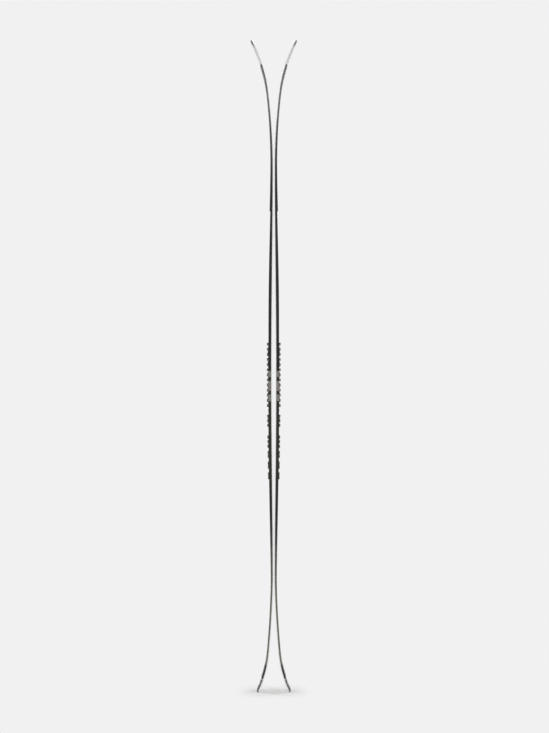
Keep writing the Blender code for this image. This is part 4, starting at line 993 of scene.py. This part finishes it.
def pin_mesh(name, head, dome, depth, stand):
    """A pin whose domed head, with a shallow dimple, sits on the frame that it stands in."""
    bm = bmesh.new()
    profile = [(DIMPLE, dome * DIMPLE_FLOOR), (head * DOME_FLAT, dome * DIMPLE_EDGE)]
    for step in range(1, DOME_STEPS + 1):
        turn = math.pi / 2 * step / DOME_STEPS
        radius = head * (DOME_FLAT + (0.5 - DOME_FLAT) * math.sin(turn))
        profile.append((radius, dome * math.cos(turn) ** DOME_FALL))
    profile += [(head / 2, -GLUE), (PIN_SHANK / 2, -GLUE), (PIN_SHANK / 2, -depth)]
    bridged(bm, [ring(bm, *point) for point in profile])
    bm.transform(stand)
    return closed_mesh(name, bm)


stud_seat = sheet_top(BOOT_CENTRE) + GLUE
tail_seat = max(above for above, across in tail_protector_section(TAIL_RIVETS_AT)) + FIT
tip_seat = max(above for above, across in tip_protector_section(TIP_RIVET_AT)) + FIT
PINS = (
    ("centre_stud", STUD, (BOOT_CENTRE + STUD_OFFSET, stud_seat, 0)),
    ("tail_rivet_1", TAIL_RIVET, (TAIL_RIVETS_AT, tail_seat, -RIVET_SPREAD / 2)),
    ("tail_rivet_2", TAIL_RIVET, (TAIL_RIVETS_AT, tail_seat, RIVET_SPREAD / 2)),
    ("tip_rivet", TIP_RIVET, (TIP_RIVET_AT, tip_seat, 0)),
)
for ski, side in SKIS:
    for name, pin, spot in PINS:
        add_piece(name, pin_mesh(name, *pin, upright_frame(side, *spot)), zinc, ski, "fastener")

# The room is a pale matt floor under soft white lamps. Away from the skis the floor and the world
# show one plain pale grey to the camera and to reflections, and the floor keeps the shadow.
BACKDROP, FLOOR_REACH, FLOOR_REFLECTS = colour("F1F1F2"), 30.0, 0.835
SHADOW_NEAR, SHADOW_FAR, SHADOW_NARROW = 0.1, 0.26, 2.2


def plainly_seen(nodes):
    """1 for what the camera, a reflection or a clear body sees, and 0 for the light on things."""
    rays = nodes.new("ShaderNodeLightPath").outputs
    seen = rays["Is Camera Ray"]
    for ray in ("Is Glossy Ray", "Is Transmission Ray"):
        seen = add_node(nodes, "ShaderNodeMath", {0: seen, 1: rays[ray]}, operation="MAXIMUM")
    return seen


floor_mesh = bpy.data.meshes.new("floor")
corners = [(x * FLOOR_REACH, y * FLOOR_REACH, 0) for x, y in ((-1, -1), (1, -1), (1, 1), (-1, 1))]
floor_mesh.from_pydata(corners, [], [(0, 1, 2, 3)])
floor = bpy.data.objects.new("floor", floor_mesh)
bpy.context.scene.collection.objects.link(floor)

# Pale matt paper. It is seen as lit only near the tails, and the zone moves with each ski.
paper = bpy.data.materials.new("pale_paper")
paper.use_nodes = True
floor_mesh.materials.append(paper)
nodes = paper.node_tree.nodes
faded = plainly_seen(nodes)
for ski, side in SKIS:
    tail = bpy.data.objects[f"{ski}_tail_protector"]
    place = add_node(nodes, "ShaderNodeTexCoord", {}, "Object", object=tail)
    narrowed = add_node(nodes, "ShaderNodeMapping", {"Vector": place, "Scale": (SHADOW_NARROW, 1, 1)})
    distance = add_node(nodes, "ShaderNodeVectorMath", {0: narrowed}, "Value", operation="LENGTH")
    zone = {0: distance, 1: SHADOW_NEAR, 2: SHADOW_FAR}
    fade = add_node(nodes, "ShaderNodeMapRange", zone, interpolation_type="SMOOTHSTEP")
    faded = add_node(nodes, "ShaderNodeMath", {0: fade, 1: faded}, operation="MINIMUM")
plain = add_node(nodes, "ShaderNodeEmission", {"Color": BACKDROP, "Strength": 1.0})
matt = add_node(nodes, "ShaderNodeBsdfDiffuse", {"Color": (*[FLOOR_REFLECTS] * 3, 1)})
mixed = add_node(nodes, "ShaderNodeMixShader", {0: faded, 1: matt, 2: plain})
wire(nodes["Material Output"], {"Surface": mixed})

# Two suns stand nearly overhead, and one of them throws no shadow. Four softboxes stand round the
# skis, and the world adds a weak white light from all sides.
SUNS, SUN_SPREAD, SUN_TILT = (("overhead_key", 0.85, True), ("overhead_fill", 0.60, False)), 22, -4
SOFTBOX_OUT, SOFTBOX_AWAY, SOFTBOX_HEIGHT, SOFTBOX_AIM = 2.6, 3.6, 1.9, Vector((0, 0, 0.9))
SOFTBOX_SIZE, SOFTBOX_POWER, AMBIENT = (1.8, 2.4), 50, 0.27


def add_to_scene(name, data):
    holder = bpy.data.objects.new(name, data)
    bpy.context.scene.collection.objects.link(holder)
    return holder


for name, strength, shadow in SUNS:
    lamp = bpy.data.lights.new(name, "SUN")
    lamp.energy, lamp.angle, lamp.use_shadow = strength, math.radians(SUN_SPREAD), shadow
    add_to_scene(name, lamp).rotation_euler = (math.radians(SUN_TILT), 0, 0)
for row, away in (("front", -SOFTBOX_AWAY), ("back", SOFTBOX_AWAY)):
    for hand, out in (("left", -SOFTBOX_OUT), ("right", SOFTBOX_OUT)):
        lamp = bpy.data.lights.new(f"{row}_{hand}", "AREA")
        lamp.shape, lamp.size, lamp.size_y, lamp.energy = "RECTANGLE", *SOFTBOX_SIZE, SOFTBOX_POWER
        holder = add_to_scene(lamp.name, lamp)
        holder.location = (out, away, SOFTBOX_HEIGHT)
        holder.rotation_euler = (SOFTBOX_AIM - holder.location).to_track_quat("-Z", "Y").to_euler()
        holder.visible_camera = False

world = bpy.data.worlds.new("studio")
bpy.context.scene.world = world
world.use_nodes = True
nodes = world.node_tree.nodes
nodes.clear()
ambient = add_node(nodes, "ShaderNodeBackground", {"Color": colour("FFFFFF"), "Strength": AMBIENT})
backdrop = add_node(nodes, "ShaderNodeBackground", {"Color": BACKDROP, "Strength": 1.0})
mixed = add_node(nodes, "ShaderNodeMixShader", {0: plainly_seen(nodes), 1: ambient, 2: backdrop})
wire(nodes.new("ShaderNodeOutputWorld"), {"Surface": mixed})
bpy.context.scene.view_settings.view_transform = "Standard"

# The camera looks level at the skis' sides from 8 m, with a long lens, as in the photograph. The
# picture's height of 733 pixels spans the sensor, at 2.765 mm a pixel where the skis stand.
CAMERA_AWAY, CAMERA_HEIGHT, CAMERA_SIDE = 8.0, 897.5 * MM, 2.014 * MM
SENSOR, PICTURE_HEIGHT, PIXEL, CAMERA_REACH = 36, 733, 2.7651 * MM, 100
camera = add_to_scene("camera", bpy.data.cameras.new("camera"))
camera.data.sensor_width, camera.data.clip_end = SENSOR, CAMERA_REACH
camera.data.lens = SENSOR * CAMERA_AWAY / (PICTURE_HEIGHT * PIXEL)
camera.location = (CAMERA_SIDE, -CAMERA_AWAY, CAMERA_HEIGHT)
camera.rotation_euler = (math.pi / 2, 0, 0)
bpy.context.scene.camera = camera
